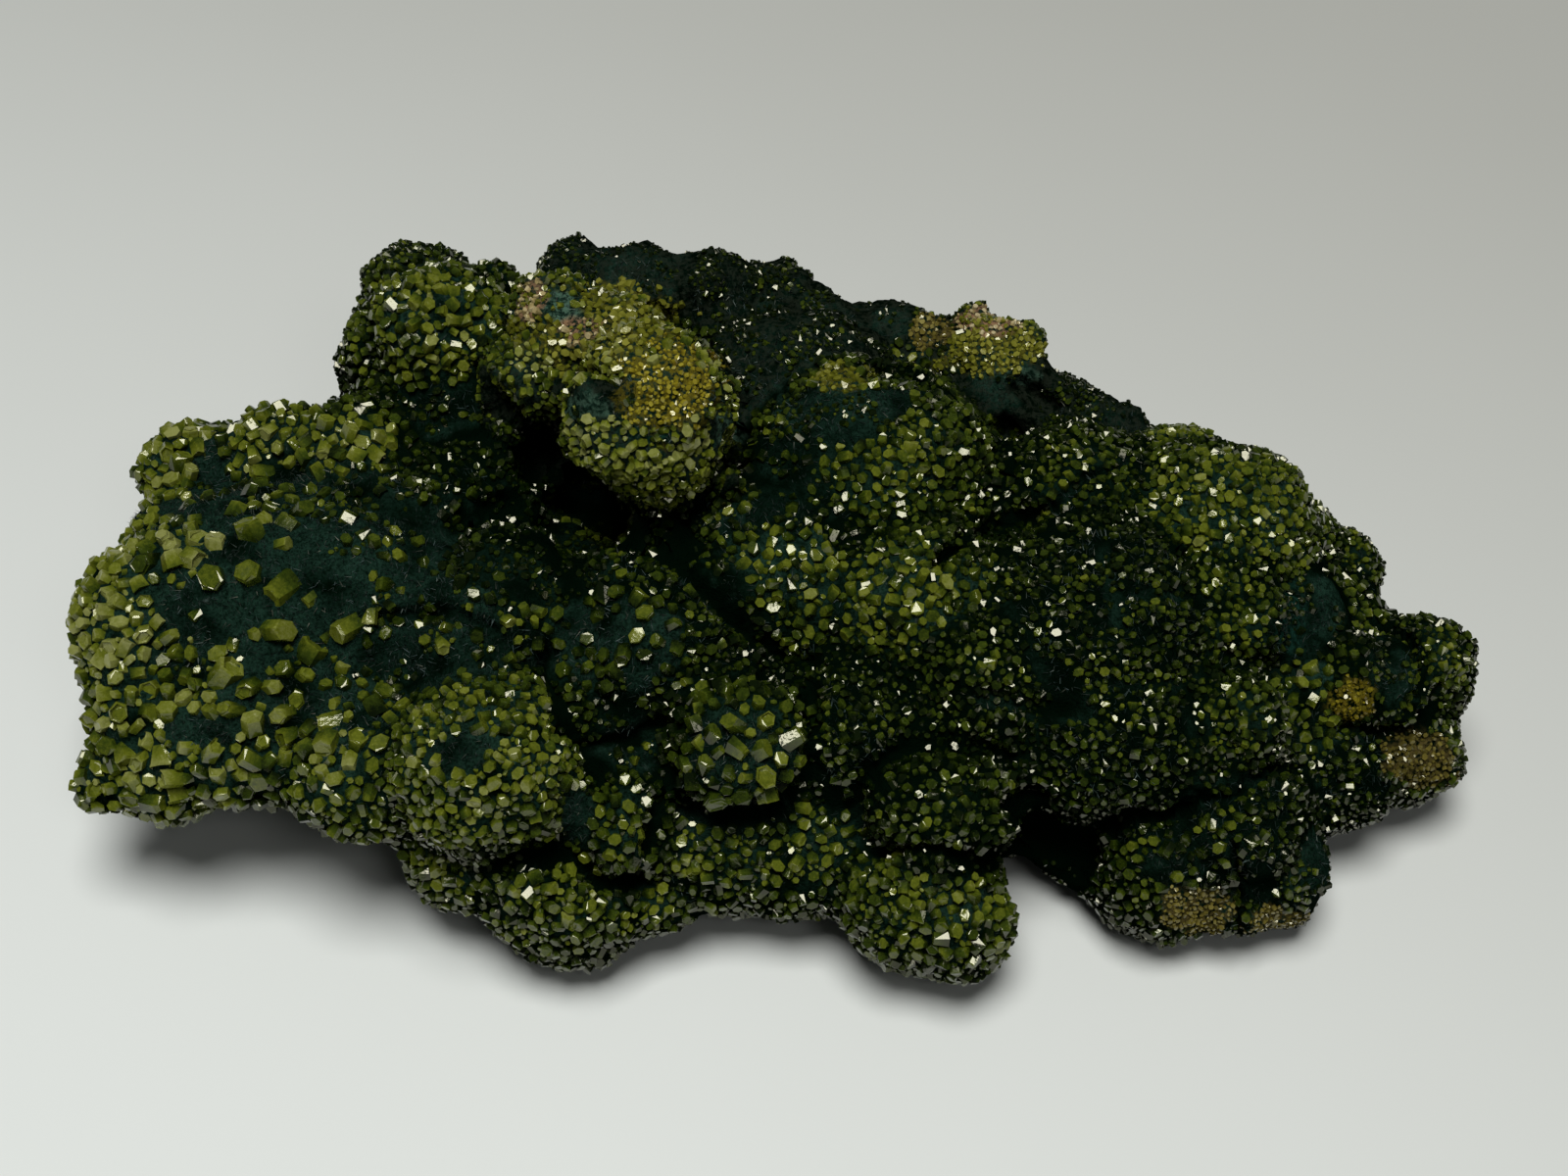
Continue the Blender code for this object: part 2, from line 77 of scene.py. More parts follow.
# Name, across the view, up the view, height above the table, three radii, and the crystals: their
# usual width, the share of the skin that they may cover, and their tint from deep (0) to pale (1).
# A low tint also paints shade on the skin, black under BLACK_TINT.
SEEN_LOBES = (
    # The arm at the left, with its bare velvet cheek.
    ("nose", -65.0, -4.0, 22.0, (7.4, 9.5, 8.0), (1.3, 0.84, 0.76)),
    ("nose_low", -64.0, -11.5, 19.0, (6.4, 6.5, 6.5), (1.35, 0.70, 0.58)),
    ("left_tip", -62.2, -17.0, 16.5, (7.0, 7.0, 6.0), (1.3, 0.84, 0.72)),
    ("tip_point", -69.2, -19.8, 15.0, (2.8, 3.0, 2.4), (1.3, 1.00, 0.66)),
    ("left_top", -59.5, 11.5, 21.0, (6.0, 6.2, 5.8), (1.2, 0.90, 0.70)),
    ("left_saddle", -60.5, 3.0, 21.0, (7.0, 7.5, 6.5), (1.3, 0.45, 0.62)),
    ("ridge", -51.0, 12.4, 23.0, (8.0, 6.5, 6.0), (1.25, 0.60, 0.68)),
    ("ridge_inner", -43.0, 12.6, 25.0, (7.0, 7.0, 6.5), (1.1, 0.62, 0.36)),
    ("cheek", -53.0, -2.5, 20.0, (16.0, 14.0, 12.0), (1.4, 0.48, 0.50)),
    ("cheek_low", -53.5, -13.5, 19.0, (10.5, 9.0, 8.0), (1.3, 0.62, 0.50)),
    ("cheek_inner", -41.0, 0.0, 22.0, (12.0, 13.0, 11.0), (1.1, 0.45, 0.36)),
    ("cheek_front", -42.5, -17.5, 18.5, (8.0, 8.0, 7.6), (1.15, 0.74, 0.48)),
    ("saddle", -32.0, 7.5, 22.5, (8.0, 8.0, 8.0), (0.7, 0.50, 0.10)),
    # The left dome and the lobes at its foot.
    ("left_dome", -30.0, -17.5, 21.0, (10.0, 9.6, 9.6), (1.0, 0.95, 0.50)),
    ("left_dome_back", -29.5, -4.0, 23.0, (10.5, 11.0, 9.5), (1.0, 0.48, 0.24)),
    ("foot_left", -22.5, -31.2, 8.5, (8.0, 7.0, 8.6), (1.0, 0.90, 0.42)),
    ("foot_left_side", -32.4, -27.0, 9.5, (6.0, 6.0, 5.5), (1.05, 0.92, 0.48)),
    ("finger", -16.0, -25.0, 15.0, (4.2, 5.0, 6.2), (1.1, 0.80, 0.40)),
    ("finger_low", -12.6, -30.8, 7.5, (4.2, 4.5, 4.4), (1.05, 0.90, 0.46)),
    # The knob at the back left.
    ("back_knob", -38.0, 30.0, 29.0, (6.2, 6.0, 6.0), (0.8, 0.72, 0.32)),
    ("front_knob", -34.5, 25.5, 31.0, (8.2, 7.5, 8.4), (1.1, 0.72, 0.54)),
    ("knob_left", -41.5, 23.0, 26.0, (4.6, 5.0, 7.5), (0.9, 0.75, 0.30)),
    ("knob_right", -29.5, 29.0, 30.0, (3.6, 4.0, 5.5), (1.0, 0.78, 0.36)),
    ("knob_root", -33.0, 17.0, 23.0, (8.5, 9.0, 9.0), (0.8, 0.45, 0.12)),
    # The raised knob that overhangs the middle.
    ("perch_lump", -23.0, 27.2, 38.0, (5.2, 5.0, 4.6), (0.8, 0.95, 0.66)),
    ("perch_left", -26.5, 21.5, 35.0, (4.2, 5.0, 5.5), (0.9, 0.88, 0.62)),
    ("perch_mid", -18.0, 24.5, 37.0, (6.4, 5.5, 5.0), (0.8, 0.92, 0.66)),
    ("perch_fill", -19.5, 21.8, 36.0, (6.2, 5.5, 5.2), (0.9, 0.84, 0.70)),
    # Painted light: the perch's high tint brightens its lower side, which the lamp barely reaches.
    ("perch", -13.6, 17.8, 39.0, (8.7, 8.6, 9.2), (0.92, 0.99, 0.88)),
    # Painted shade: tint 0 blackens the skin under the overhanging knob.
    ("perch_root", -20.0, 20.0, 27.0, (8.0, 9.0, 9.0), (0.7, 0.25, 0.0)),
    # The dark lobes along the back, and the pale cap that stands up from them.
    ("rear_one", -22.0, 32.6, 25.0, (3.8, 4.5, 3.8), (0.5, 0.45, 0.12)),
    ("rear_gap_one", -18.5, 31.2, 24.5, (4.2, 5.0, 4.2), (0.5, 0.40, 0.12)),
    ("rear_two", -14.5, 30.3, 25.0, (5.6, 6.5, 5.0), (0.45, 0.30, 0.12)),
    ("rear_gap_two", -10.5, 30.4, 24.5, (4.2, 5.0, 4.2), (0.5, 0.35, 0.12)),
    ("rear_three", -6.5, 29.4, 25.0, (5.2, 6.0, 5.0), (0.5, 0.45, 0.14)),
    ("rear_gap_three", -3.2, 29.6, 24.0, (3.8, 5.0, 3.9), (0.5, 0.45, 0.14)),
    ("rear_four", 0.0, 29.8, 24.0, (3.6, 4.5, 3.8), (0.6, 0.50, 0.20)),
    ("rear_gap_four", 3.0, 27.2, 24.0, (3.6, 5.0, 3.8), (0.5, 0.40, 0.13)),
    ("rear_five", 5.0, 25.0, 24.0, (5.2, 6.0, 4.6), (0.5, 0.35, 0.13)),
    ("rear_gap_five", 7.8, 25.8, 23.5, (3.6, 5.0, 3.6), (0.45, 0.35, 0.12)),
    ("rear_six", 10.5, 25.5, 24.0, (4.2, 4.5, 4.0), (0.45, 0.30, 0.12)),
    ("cap", 20.0, 25.2, 27.0, (5.4, 3.6, 2.4), (0.6, 1.00, 0.60)),
    ("cap_crest", 19.3, 27.3, 27.5, (2.8, 2.6, 1.7), (0.6, 1.00, 0.60)),
    ("cap_end", 24.3, 24.9, 26.5, (2.4, 2.6, 2.2), (0.6, 1.00, 0.60)),
    ("cap_start", 15.3, 26.0, 26.5, (2.2, 2.6, 1.8), (0.6, 1.00, 0.60)),
    # Painted shade: a low tint darkens the skin under the cap.
    ("cap_root", 22.0, 21.0, 23.0, (5.2, 6.0, 5.5), (0.5, 0.15, 0.05)),
    ("rear_seven", 29.0, 18.0, 22.0, (4.0, 4.5, 4.0), (0.5, 0.50, 0.16)),
    ("rear_gap_seven", 31.8, 16.6, 21.5, (3.6, 4.5, 3.6), (0.5, 0.45, 0.16)),
    ("rear_eight", 34.5, 15.0, 21.0, (3.8, 4.5, 4.0), (0.5, 0.45, 0.16)),
    # The middle.
    ("dome_back", 1.0, 19.0, 25.0, (11.5, 11.0, 9.5), (0.55, 0.42, 0.12)),
    ("dome", 8.0, 11.0, 24.0, (14.5, 14.0, 12.5), (0.9, 0.70, 0.32)),
    ("dome_front", 0.0, 2.0, 24.0, (10.0, 10.0, 8.8), (1.0, 0.68, 0.44)),
    ("dome_lip", 13.0, -1.0, 23.5, (9.2, 9.0, 8.4), (1.0, 0.94, 0.48)),
    ("middle_left", -12.0, -4.5, 22.0, (12.0, 11.0, 10.0), (0.85, 0.54, 0.20)),
    ("middle", -4.2, -16.6, 21.0, (7.3, 6.8, 7.0), (1.2, 0.66, 0.38)),
    ("middle_pit", -16.0, -16.0, 16.0, (6.0, 7.0, 7.0), (0.7, 0.42, 0.12)),
    ("under_middle", -6.5, -27.0, 8.5, (6.0, 5.5, 6.0), (1.05, 0.78, 0.36)),
    ("under_right", 1.5, -26.2, 8.5, (5.2, 6.0, 6.0), (1.0, 0.74, 0.26)),
    ("hollow", 6.5, -15.0, 18.0, (8.0, 8.0, 8.0), (0.75, 0.55, 0.16)),
    ("front_bump", 16.5, -22.5, 17.0, (7.6, 7.5, 6.8), (0.9, 0.70, 0.22)),
    ("foot_middle", 13.8, -30.8, 9.0, (8.6, 7.6, 8.8), (1.0, 0.94, 0.42)),
    ("foot_middle_low", 17.2, -33.8, 8.5, (6.2, 6.2, 6.4), (1.1, 0.90, 0.46)),
    # The right half.
    ("right_ledge", 20.0, -10.0, 20.0, (8.5, 9.0, 9.0), (0.75, 0.60, 0.20)),
    ("right_back", 30.0, 9.0, 23.0, (9.0, 9.0, 8.0), (0.8, 0.62, 0.28)),
    ("right_field", 31.0, -5.0, 20.0, (13.5, 13.5, 12.0), (0.72, 0.54, 0.19)),
    ("right_front", 33.0, -15.5, 18.0, (10.0, 9.0, 8.5), (0.72, 0.52, 0.17)),
    # Painted shade: tint 0 blackens the skin in the recess.
    ("right_recess", 30.6, -24.2, 6.0, (6.6, 7.0, 6.0), (0.6, 0.20, 0.0)),
    ("right_dome", 45.0, -14.5, 19.0, (6.2, 6.0, 6.5), (0.75, 0.75, 0.30)),
    ("bright_dome", 44.0, 6.0, 23.0, (10.8, 9.5, 9.0), (0.85, 0.97, 0.44)),
    ("bright_low", 43.0, -4.0, 20.0, (9.5, 9.0, 8.0), (0.8, 0.78, 0.30)),
    ("right_top", 40.0, 10.8, 22.0, (6.2, 6.5, 5.8), (0.8, 0.95, 0.56)),
    ("right_edge", 51.5, 5.0, 19.0, (5.0, 6.0, 5.2), (0.8, 0.74, 0.42)),
    ("small_knob", 58.0, 2.5, 15.0, (3.4, 4.0, 3.5), (0.6, 0.85, 0.30)),
    ("velvet_gap", 52.0, -3.5, 18.0, (6.2, 7.0, 6.0), (0.7, 0.25, 0.10)),
    ("ochre_shelf", 57.0, -9.5, 17.0, (5.5, 5.5, 5.0), (0.75, 0.56, 0.12)),
    ("end_top", 65.3, -8.6, 14.0, (5.0, 6.0, 6.2), (0.75, 0.92, 0.34)),
    ("end_inner", 62.5, -10.6, 15.0, (4.4, 5.0, 4.8), (0.65, 0.50, 0.20)),
    ("end_low", 63.5, -16.5, 8.5, (6.3, 6.0, 6.0), (0.75, 0.92, 0.38)),
    ("end_root", 55.5, -18.0, 9.5, (7.0, 7.0, 7.0), (0.7, 0.50, 0.15)),
    ("foot_right", 38.5, -28.7, 7.0, (8.0, 7.0, 8.6), (0.9, 0.60, 0.27)),
    ("foot_right_side", 50.0, -28.0, 7.5, (5.2, 6.0, 6.5), (0.75, 0.38, 0.24)),
    ("foot_right_join", 45.4, -30.2, 6.5, (4.8, 5.5, 5.4), (0.75, 0.50, 0.26)),
    ("right_skirt", 45.5, -23.0, 13.0, (8.0, 8.0, 7.0), (0.75, 0.46, 0.16)),
)

# The far side and the body inside, which the view doesn't show: name, place and radii.
FAR_LOBES = (
    ("core", (2.0, 3.0, 12.0), (42.0, 26.0, 11.5)),
    ("core_left", (-41.0, 1.0, 14.0), (25.0, 15.0, 9.0)),
    ("core_right", (44.0, -2.0, 12.0), (21.0, 17.0, 11.0)),
    ("core_front", (-2.0, -20.0, 9.0), (26.0, 10.0, 8.5)),
    ("core_back", (-10.0, 28.0, 14.0), (34.0, 15.0, 12.0)),
    ("perch_neck", (-13.0, 17.0, 30.0), (7.5, 8.0, 8.0)),
    ("cap_bed", (14.5, 30.0, 19.0), (8.0, 8.0, 7.5)),
    ("base", (2.0, 6.0, 4.0), (38.0, 24.0, 7.0)),
    ("far_left_end", (-55.0, 12.0, 13.0), (8.0, 8.0, 7.0)),
    ("far_left", (-46.0, 24.0, 14.0), (8.5, 8.5, 8.5)),
    ("far_left_knob", (-37.0, 33.0, 15.0), (9.0, 8.5, 9.5)),
    ("far_one", (-24.0, 39.0, 10.0), (9.0, 8.5, 10.5)),
    ("far_two", (-11.0, 42.0, 13.0), (8.0, 7.0, 8.5)),
    ("far_three", (2.0, 38.0, 9.0), (9.0, 8.0, 9.5)),
    ("far_four", (15.0, 33.0, 11.0), (8.5, 8.5, 9.0)),
    ("far_five", (28.0, 28.0, 9.0), (8.5, 7.0, 9.5)),
    ("far_six", (39.0, 21.0, 10.0), (8.0, 7.5, 7.5)),
    ("far_seven", (50.0, 13.0, 8.0), (7.5, 7.0, 8.5)),
    ("far_eight", (59.0, 4.0, 8.0), (5.0, 5.2, 5.6)),
    ("far_shelf_one", (-19.0, 41.0, 20.0), (7.0, 7.0, 6.5)),
    ("far_shelf_two", (-7.0, 37.0, 20.0), (7.5, 7.5, 6.5)),
    ("far_shelf_three", (7.0, 33.0, 19.0), (8.0, 6.5, 6.5)),
    ("far_shelf_four", (21.0, 28.0, 18.0), (8.0, 7.0, 6.5)),
    ("far_shelf_five", (33.0, 22.0, 17.0), (7.0, 6.5, 6.0)),
    ("far_shelf_six", (45.0, 14.0, 16.0), (7.0, 6.0, 6.0)),
)
FAR_COVER = Cover(0.95, 0.60, 0.34)

# The lobes whose skin is crumpled into small lumps, by the start of their names.
LUMPY_LOBES = ("rear", "cap", "perch", "far_shelf", "back_knob", "dome_back")

# Places in the view where the crystals differ from their lobe's: name, across, up, half the width,
# half the height, crust ("" for plain crystals) and the crystals. A later row wins over an earlier one.
PATCHES = [Patch(*row) for row in (
    ("cheek", -51.2, -0.8, 12.4, 9.8, "", (2.0, 0.19, 0.52)),
    ("cheek_cluster", -60.8, 4.2, 3.4, 2.8, "", (1.9, 0.95, 0.76)),
    ("ridge_valley", -52.0, 10.0, 5.5, 2.0, "", (1.5, 0.34, 0.56)),
    ("ridge_crest", -48.8, 15.4, 8.0, 2.4, "", (1.3, 0.76, 0.68)),
    ("left_top_cluster", -60.5, 13.0, 4.5, 4.5, "", (1.4, 0.95, 0.72)),
    ("top_velvet", -58.4, 11.0, 2.2, 5.0, "", (1.5, 0.20, 0.50)),
    ("saddle_velvet", -60.0, 7.6, 4.0, 1.3, "", (1.4, 0.14, 0.55)),
    ("nose_rim", -70.0, -2.0, 4.2, 9.5, "", (1.25, 0.92, 0.80)),
    ("left_tip_cluster", -63.5, -17.0, 9.5, 6.5, "", (1.6, 0.80, 0.72)),
    ("tip_velvet", -60.2, -14.6, 3.0, 1.8, "", (1.6, 0.28, 0.50)),
    ("cheek_foot", -48.0, -12.5, 8.5, 5.0, "", (1.5, 0.42, 0.56)),
    ("inner_cheek", -35.5, -3.5, 8.0, 7.0, "", (1.1, 0.36, 0.32)),
    # Painted shade: a low tint darkens the skin in the valley under the knob.
    ("valley_left", -25.0, 4.5, 8.0, 7.5, "", (0.65, 0.42, 0.05)),
    ("left_dome_bare", -32.6, -16.6, 3.4, 2.1, "", (1.2, 0.03, 0.50)),
    ("left_dome_bare_low", -21.0, -22.5, 1.8, 3.2, "", (1.2, 0.10, 0.45)),
    ("middle_face", -4.4, -17.2, 6.0, 5.2, "", (1.6, 0.46, 0.42)),
    ("middle_left_face", -17.0, -6.0, 6.5, 5.5, "", (1.3, 0.32, 0.30)),
    ("dome_velvet", 6.0, 18.0, 9.0, 3.0, "", (0.55, 0.32, 0.16)),
    ("dome_left", -1.5, 10.5, 6.0, 6.5, "", (0.9, 0.44, 0.15)),
    ("dome_shade", 10.2, 5.6, 6.8, 2.6, "", (0.85, 0.62, 0.10)),
    ("dome_right", 15.5, 10.0, 6.8, 8.0, "", (0.95, 0.97, 0.37)),
    ("dome_yellow", 6.0, 21.4, 3.3, 1.4, "yellow", (0.60, 0.84, 0.62)),
    ("right_velvet", 52.0, -4.0, 2.4, 5.0, "", (0.65, 0.50, 0.24)),
    ("right_cluster", 53.8, -9.2, 2.0, 1.7, "", (1.1, 1.00, 0.56)),
    ("ochre_spot", 58.0, -11.3, 2.3, 2.3, "ochre", (0.40, 1.00, 0.10)),
    ("end_fold", 62.2, -7.4, 2.6, 4.6, "", (0.6, 0.44, 0.24)),
    ("end_brown", 65.2, -17.4, 3.6, 2.8, "brown", (0.45, 0.95, 0.22)),
    ("foot_right_velvet", 42.0, -27.5, 6.0, 3.2, "", (1.0, 0.50, 0.30)),
    ("foot_right_brown", 42.2, -33.0, 3.8, 2.6, "brown", (0.42, 0.95, 0.5)),
    ("side_foot_brown", 50.2, -33.9, 3.6, 1.6, "brown", (0.42, 0.95, 0.68)),
    ("cap_yellow", 21.0, 24.4, 7.0, 2.6, "yellow", (0.55, 1.00, 0.84)),
    ("cap_rose", 20.8, 27.1, 3.4, 1.8, "rose", (0.50, 1.00, 0.74)),
    ("cap_left", 15.2, 25.8, 2.4, 2.4, "brown", (0.50, 1.00, 0.6)),
    ("perch_rim", -19.0, 26.6, 9.0, 4.6, "yellow", (0.7, 0.92, 0.74)),
    ("perch_ochre", -11.5, 20.2, 5.5, 5.1, "ochre", (0.42, 1.00, 0.55)),
    ("perch_band", -19.4, 19.6, 3.8, 2.6, "", (0.65, 0.26, 0.10)),
    ("perch_band_low", -13.2, 15.6, 4.2, 1.1, "", (0.80, 0.55, 0.60)),
    ("perch_edge", -6.6, 17.4, 1.5, 3.4, "", (0.6, 0.30, 0.70)),
    ("perch_rose", -25.6, 29.2, 1.9, 2.3, "rose", (0.55, 0.85, 0.64)),
    ("perch_rose_low", -21.0, 26.4, 2.3, 1.5, "rose", (0.55, 0.85, 0.64)),
    ("perch_teal", -22.5, 28.6, 2.4, 1.8, "", (0.6, 0.22, 0.66)),
    ("perch_bright", -25.6, 22.8, 1.8, 1.8, "", (0.9, 1.00, 0.96)),
)]

# The dark valleys between the lobes as the view shows them, cut deeper into the skin and darkened with
# painted shade: half the width, how deep they are, then points across and up the view.
VALLEYS = (
    # Under and round the raised knob.
    (1.6, 1.0, ((-31.0, 22.0), (-29.4, 18.8), (-26.2, 16.1), (-24.6, 14.2))),
    (3.3, 1.0, ((-25.6, 13.4), (-21.0, 8.9), (-15.0, 5.7), (-10.4, 4.2))),
    (1.6, 1.0, ((-14.0, 4.2), (-10.4, 2.2), (-6.6, -1.6), (-3.2, -4.8))),
    (1.5, 1.0, ((-16.5, 7.6), (-11.0, 7.0), (-6.6, 10.0), (-4.4, 14.5), (-4.2, 19.0))),
    (1.0, 0.7, ((-4.4, 19.0), (-7.5, 24.5), (-13.0, 28.6))),
    (1.1, 0.8, ((-3.2, -4.8), (0.0, -6.8), (3.6, -7.5))),
    (1.2, 0.6, ((-21.9, 23.1), (-17.6, 21.4))),
    # Along the left arm.
    (2.4, 0.6, ((-43.0, 9.3), (-34.0, 6.0), (-28.0, 8.5))),
    (1.4, 0.6, ((-40.8, -3.0), (-34.0, -2.4), (-29.5, -4.5))),
    # Round the left dome and the lobes under it.
    (1.3, 0.8, ((-24.0, -6.5), (-23.6, -9.5), (-23.2, -11.0))),
    (1.5, 1.0, ((-23.2, -11.0), (-22.6, -14.0), (-20.0, -16.2), (-18.9, -19.5))),
    (1.1, 0.9, ((-20.0, -15.8), (-15.8, -15.6), (-12.4, -13.6))),
    (1.7, 1.0, ((-29.0, -28.4), (-24.4, -28.0), (-21.8, -27.4), (-18.5, -30.4), (-14.7, -30.0))),
    (2.6, 1.0, ((-25.2, -27.4), (-22.8, -27.2))),
    (1.2, 1.0, ((-13.8, -27.0), (-13.3, -23.6), (-11.5, -18.9))),
    # Round the middle lobe.
    (1.4, 1.0, ((2.7, -10.5), (2.9, -15.0), (2.5, -19.0), (-1.0, -22.6), (-6.8, -23.3),
                (-11.5, -21.5))),
    # Right of the middle.
    (1.3, 1.0, ((15.6, 2.6), (19.2, 5.6), (23.6, 7.0), (27.8, 8.6))),
    (0.9, 0.5, ((27.8, 8.6), (31.0, 11.4), (34.8, 12.5))),
    (1.8, 0.6, ((22.6, 16.5), (22.6, 11.9))),
    (1.6, 0.4, ((32.6, 3.6), (34.1, -3.4))),
    (1.3, 0.4, ((36.0, -0.6), (39.7, -0.6), (44.0, -2.5))),
    (1.8, 0.5, ((20.4, -11.2), (30.5, -12.8))),
    # Round the bump at the front.
    (1.2, 1.0, ((7.4, -25.4), (9.2, -27.2), (13.2, -26.6), (20.3, -27.6), (23.6, -26.2))),
    (1.5, 0.7, ((8.4, -18.6), (11.5, -16.6), (17.0, -15.6), (23.0, -17.4))),
    (1.1, 0.8, ((8.4, -18.6), (7.2, -22.0), (7.4, -25.4))),
    (1.8, 0.5, ((45.0, -7.2), (51.9, -8.4))),
    (3.0, 1.0, ((24.5, -22.0), (27.0, -25.0), (30.0, -27.0))),
    (1.2, 1.0, ((31.0, -25.0), (35.0, -23.4), (39.5, -23.4), (43.0, -21.4))),
    (1.0, 0.7, ((43.0, -21.4), (46.4, -21.0), (49.6, -18.6), (53.0, -18.4))),
    (0.7, 0.8, ((45.9, -26.2), (46.8, -31.2), (46.4, -35.0))),
    (0.7, 0.8, ((59.8, -3.4), (63.6, -4.8), (65.2, -8.4), (64.2, -12.4))),
    (0.8, 0.9, ((56.5, -14.0), (59.1, -14.6), (64.1, -14.9), (66.2, -12.5), (66.8, -9.9))),
    (1.5, 0.7, ((8.8, 22.4), (15.0, 21.6))),
    (1.6, 0.7, ((24.5, 20.5), (27.0, 18.5))),
)

# Stains on the bare skin, and one painted sheen: name, across, up, half the width, half the height,
# strength and the name of the setting that holds the colour.
STAINS = [Stain(*row) for row in (
    ("perch_teal", -22.4, 28.6, 2.3, 1.7, 0.85, "pale_teal"),
    ("perch_band", -20.4, 18.4, 3.2, 1.6, 0.45, "pale_teal"),
    ("perch_band_low", -13.6, 15.8, 3.6, 1.0, 0.5, "teal"),
    ("perch_edge", -6.0, 16.6, 0.9, 2.0, 1.0, "pale_teal"),
    ("right_fibres", 51.8, -3.6, 1.7, 4.4, 0.5, "teal"),
    # On the dark support under the cap the pale teal paints its sheen.
    ("cap_support_sheen", 24.0, 21.8, 2.6, 1.3, 0.35, "pale_teal"),
)]
# How much wider than its ellipse a stain is, how fast it fades at its edge, and the share of an earlier
# stain's strength that it must pass to take that one's place.
STAIN_GROWTH = 1.1
STAIN_FADE = 1.6
STAIN_PRIORITY = 0.6

# A crease is felt this far from the line where two lobes meet, if the cosine of the angle between
# their surfaces is less than this. The faintest part of it is left out.
CREASE_REACH = 2.6
CREASE_COSINE = 0.94
CREASE_STEEPNESS = 2.0
CREASE_LEFT_OUT = 0.45
# How much of a crease counts where it isn't one of the valleys, what it takes from the crystals'
# width and share, and how far it darkens their tint as painted shade.
MEETING_DEPTH = 0.40
CREASE_WIDTH = 0.35
CREASE_SHARE = 0.75
CREASE_PAINTED_SHADE = 0.40
# Towards the crowns of the lobes, which face up towards the view and the lamp, how much wider the
# crystals are there, and how far their tint is painted paler there as light and darker on the flanks as
# shade.
CROWN_AXIS = (0.0, -0.50, 0.866)
CROWN_LEVEL = 0.75
CROWN_WIDTH = 0.25
CROWN_PAINTED_LIGHT = 0.40

# How much of a valley's width stays the same along it and how much wanders, and how steep its
# sides are.
VALLEY_STEADY = 0.55
VALLEY_WANDER = 0.45
VALLEY_SIDES = 1.4
# The grains that make the edges of patches ragged, and how far they move the edges.
EDGE_GRAIN = 2.6
FINE_EDGE_GRAIN = 0.9
FINE_EDGE_WEIGHT = 0.6
EDGE_MIDDLE = 0.8
EDGE_WANDER = 1.5
EDGE_LIMITS = (0.25, 1.9)

# The finer lumps of the crumpled lobes beside the coarse ones, and the lumps of all the other lobes.
FINE_LUMP_SIZE = 0.4
FINE_LUMP_HEIGHT = 0.5
FAINT_LUMPS = 0.25
# Rays towards the view start this far off the skin, so that they don't meet their own face.
SIGHT_CLEARANCE = 0.35

# The skin is darkened with painted shade where the crystals' share, times the slope, passes the start
# and their tint is less than pale, and it is painted black as shade under the last tint.
CROWDED_SLOPE = 5.0
CROWDED_START = 1.4
PALE_TINT = 0.52
PALE_RANGE = 0.25
BLACK_TINT = 0.1
# How far clump noise spreads round its middle.
CLUMP_SPREAD = 0.62

# The pieces that the crystals are joined into, from the blunt arm to the tapered end: name and the
# place along the length where the piece ends.
BANDS = (
    ("crystals_on_left_arm", -38.0),
    ("crystals_on_left_dome", -14.0),
    ("crystals_on_middle", 10.0),
    ("crystals_on_right_field", 36.0),
    ("crystals_on_tapered_end", 99.0),
)
# The crusts of very fine crystals, with their colours from deep to pale.
CRUSTS = {
    "ochre": ((0.085, 0.064, 0.004), (0.245, 0.205, 0.013), (0.39, 0.34, 0.045)),
    "yellow": ((0.03, 0.036, 0.003), (0.11, 0.115, 0.008), (0.22, 0.215, 0.03)),
    "rose": ((0.14, 0.11, 0.036), (0.35, 0.275, 0.115), (0.58, 0.50, 0.30)),
    "brown": ((0.065, 0.054, 0.010), (0.15, 0.122, 0.022), (0.26, 0.225, 0.065)),
}
# Yellow crystals stand in the rose crusts where noise of this grain is under the limit.
ROSE_GRAIN = 0.9
YELLOW_IN_ROSE = 0.48

# The ends of the crystals, for a unit width: how wide the end is chamfered, then each ring that is
# inset in it and how far that one is raised. They are plain, chamfered, stepped and hollow.
CRYSTAL_ENDS = (
    (0.0, ()),
    (0.06, ()),
    (0.06, ((0.10, 0.0), (0.02, 0.07))),
    (0.06, ((0.12, 0.0), (0.08, -0.14))),
)
# Crystals over the first width are chamfered, and over the second of any kind but plain.
CHAMFERED_WIDTH = 0.8
STEPPED_WIDTH = 1.5
# A face counts as level if the upward part of its normal is over this.
LEAST_LEVEL = 0.9

# How the crystals' widths differ: the limits of chance, the share of fine ones and their size, and
# the least width.
SPREAD_LIMITS = (-1.6, 1.2)
FINE_SHARE = 0.35
FINE_SIZE = 0.55
SMALLEST_CRYSTAL = 0.30
# How high the lowest seats are: this far over the table and a share of the crystal's width more.
LOWEST_CRYSTAL = 0.3
CRYSTAL_HANG = 0.8
# Crystals stand where coarse clumps, fine clumps and some chance add up to less than a limit. The
# limit is the bare clump's for a share of nothing, and rises with the share.
COARSE_CLUMPS = 0.62
FINE_CLUMPS = 0.38
FINE_CLUMP_SIZE = 1.3
STRAY_CRYSTALS = 0.16
BARE_CLUMP = 0.12
COVERED_CLUMPS = 0.92
# The wider crystals take their seats first, give or take this chance.
TURN_SPREAD = (0.5, 1.0)

# How far a crystal leans. Then, as shares of its width, its breadth, its height and its lift off the
# skin, how skewed and tapered it is, and how far its corners stray.
WIDEST_TILT = radians(78)
SLIMNESS = (0.84, 1.18)
TALLNESS = (0.8, 1.2)
LIFTS = (-0.20, 0.14)
SKEWS = (-0.22, 0.22)
TAPERS = (-0.05, 0.28)
CORNER_WANDER = 0.035
# Tints differ from one patch of this size to the next, and from one crystal to the next.
TINT_PATCH_SIZE = 4.0
PATCHINESS = 0.30
TINT_SPREAD = 0.13
# The share of its cell in the UV map that a crystal leaves free at each side.
CELL_MARGIN = 0.08

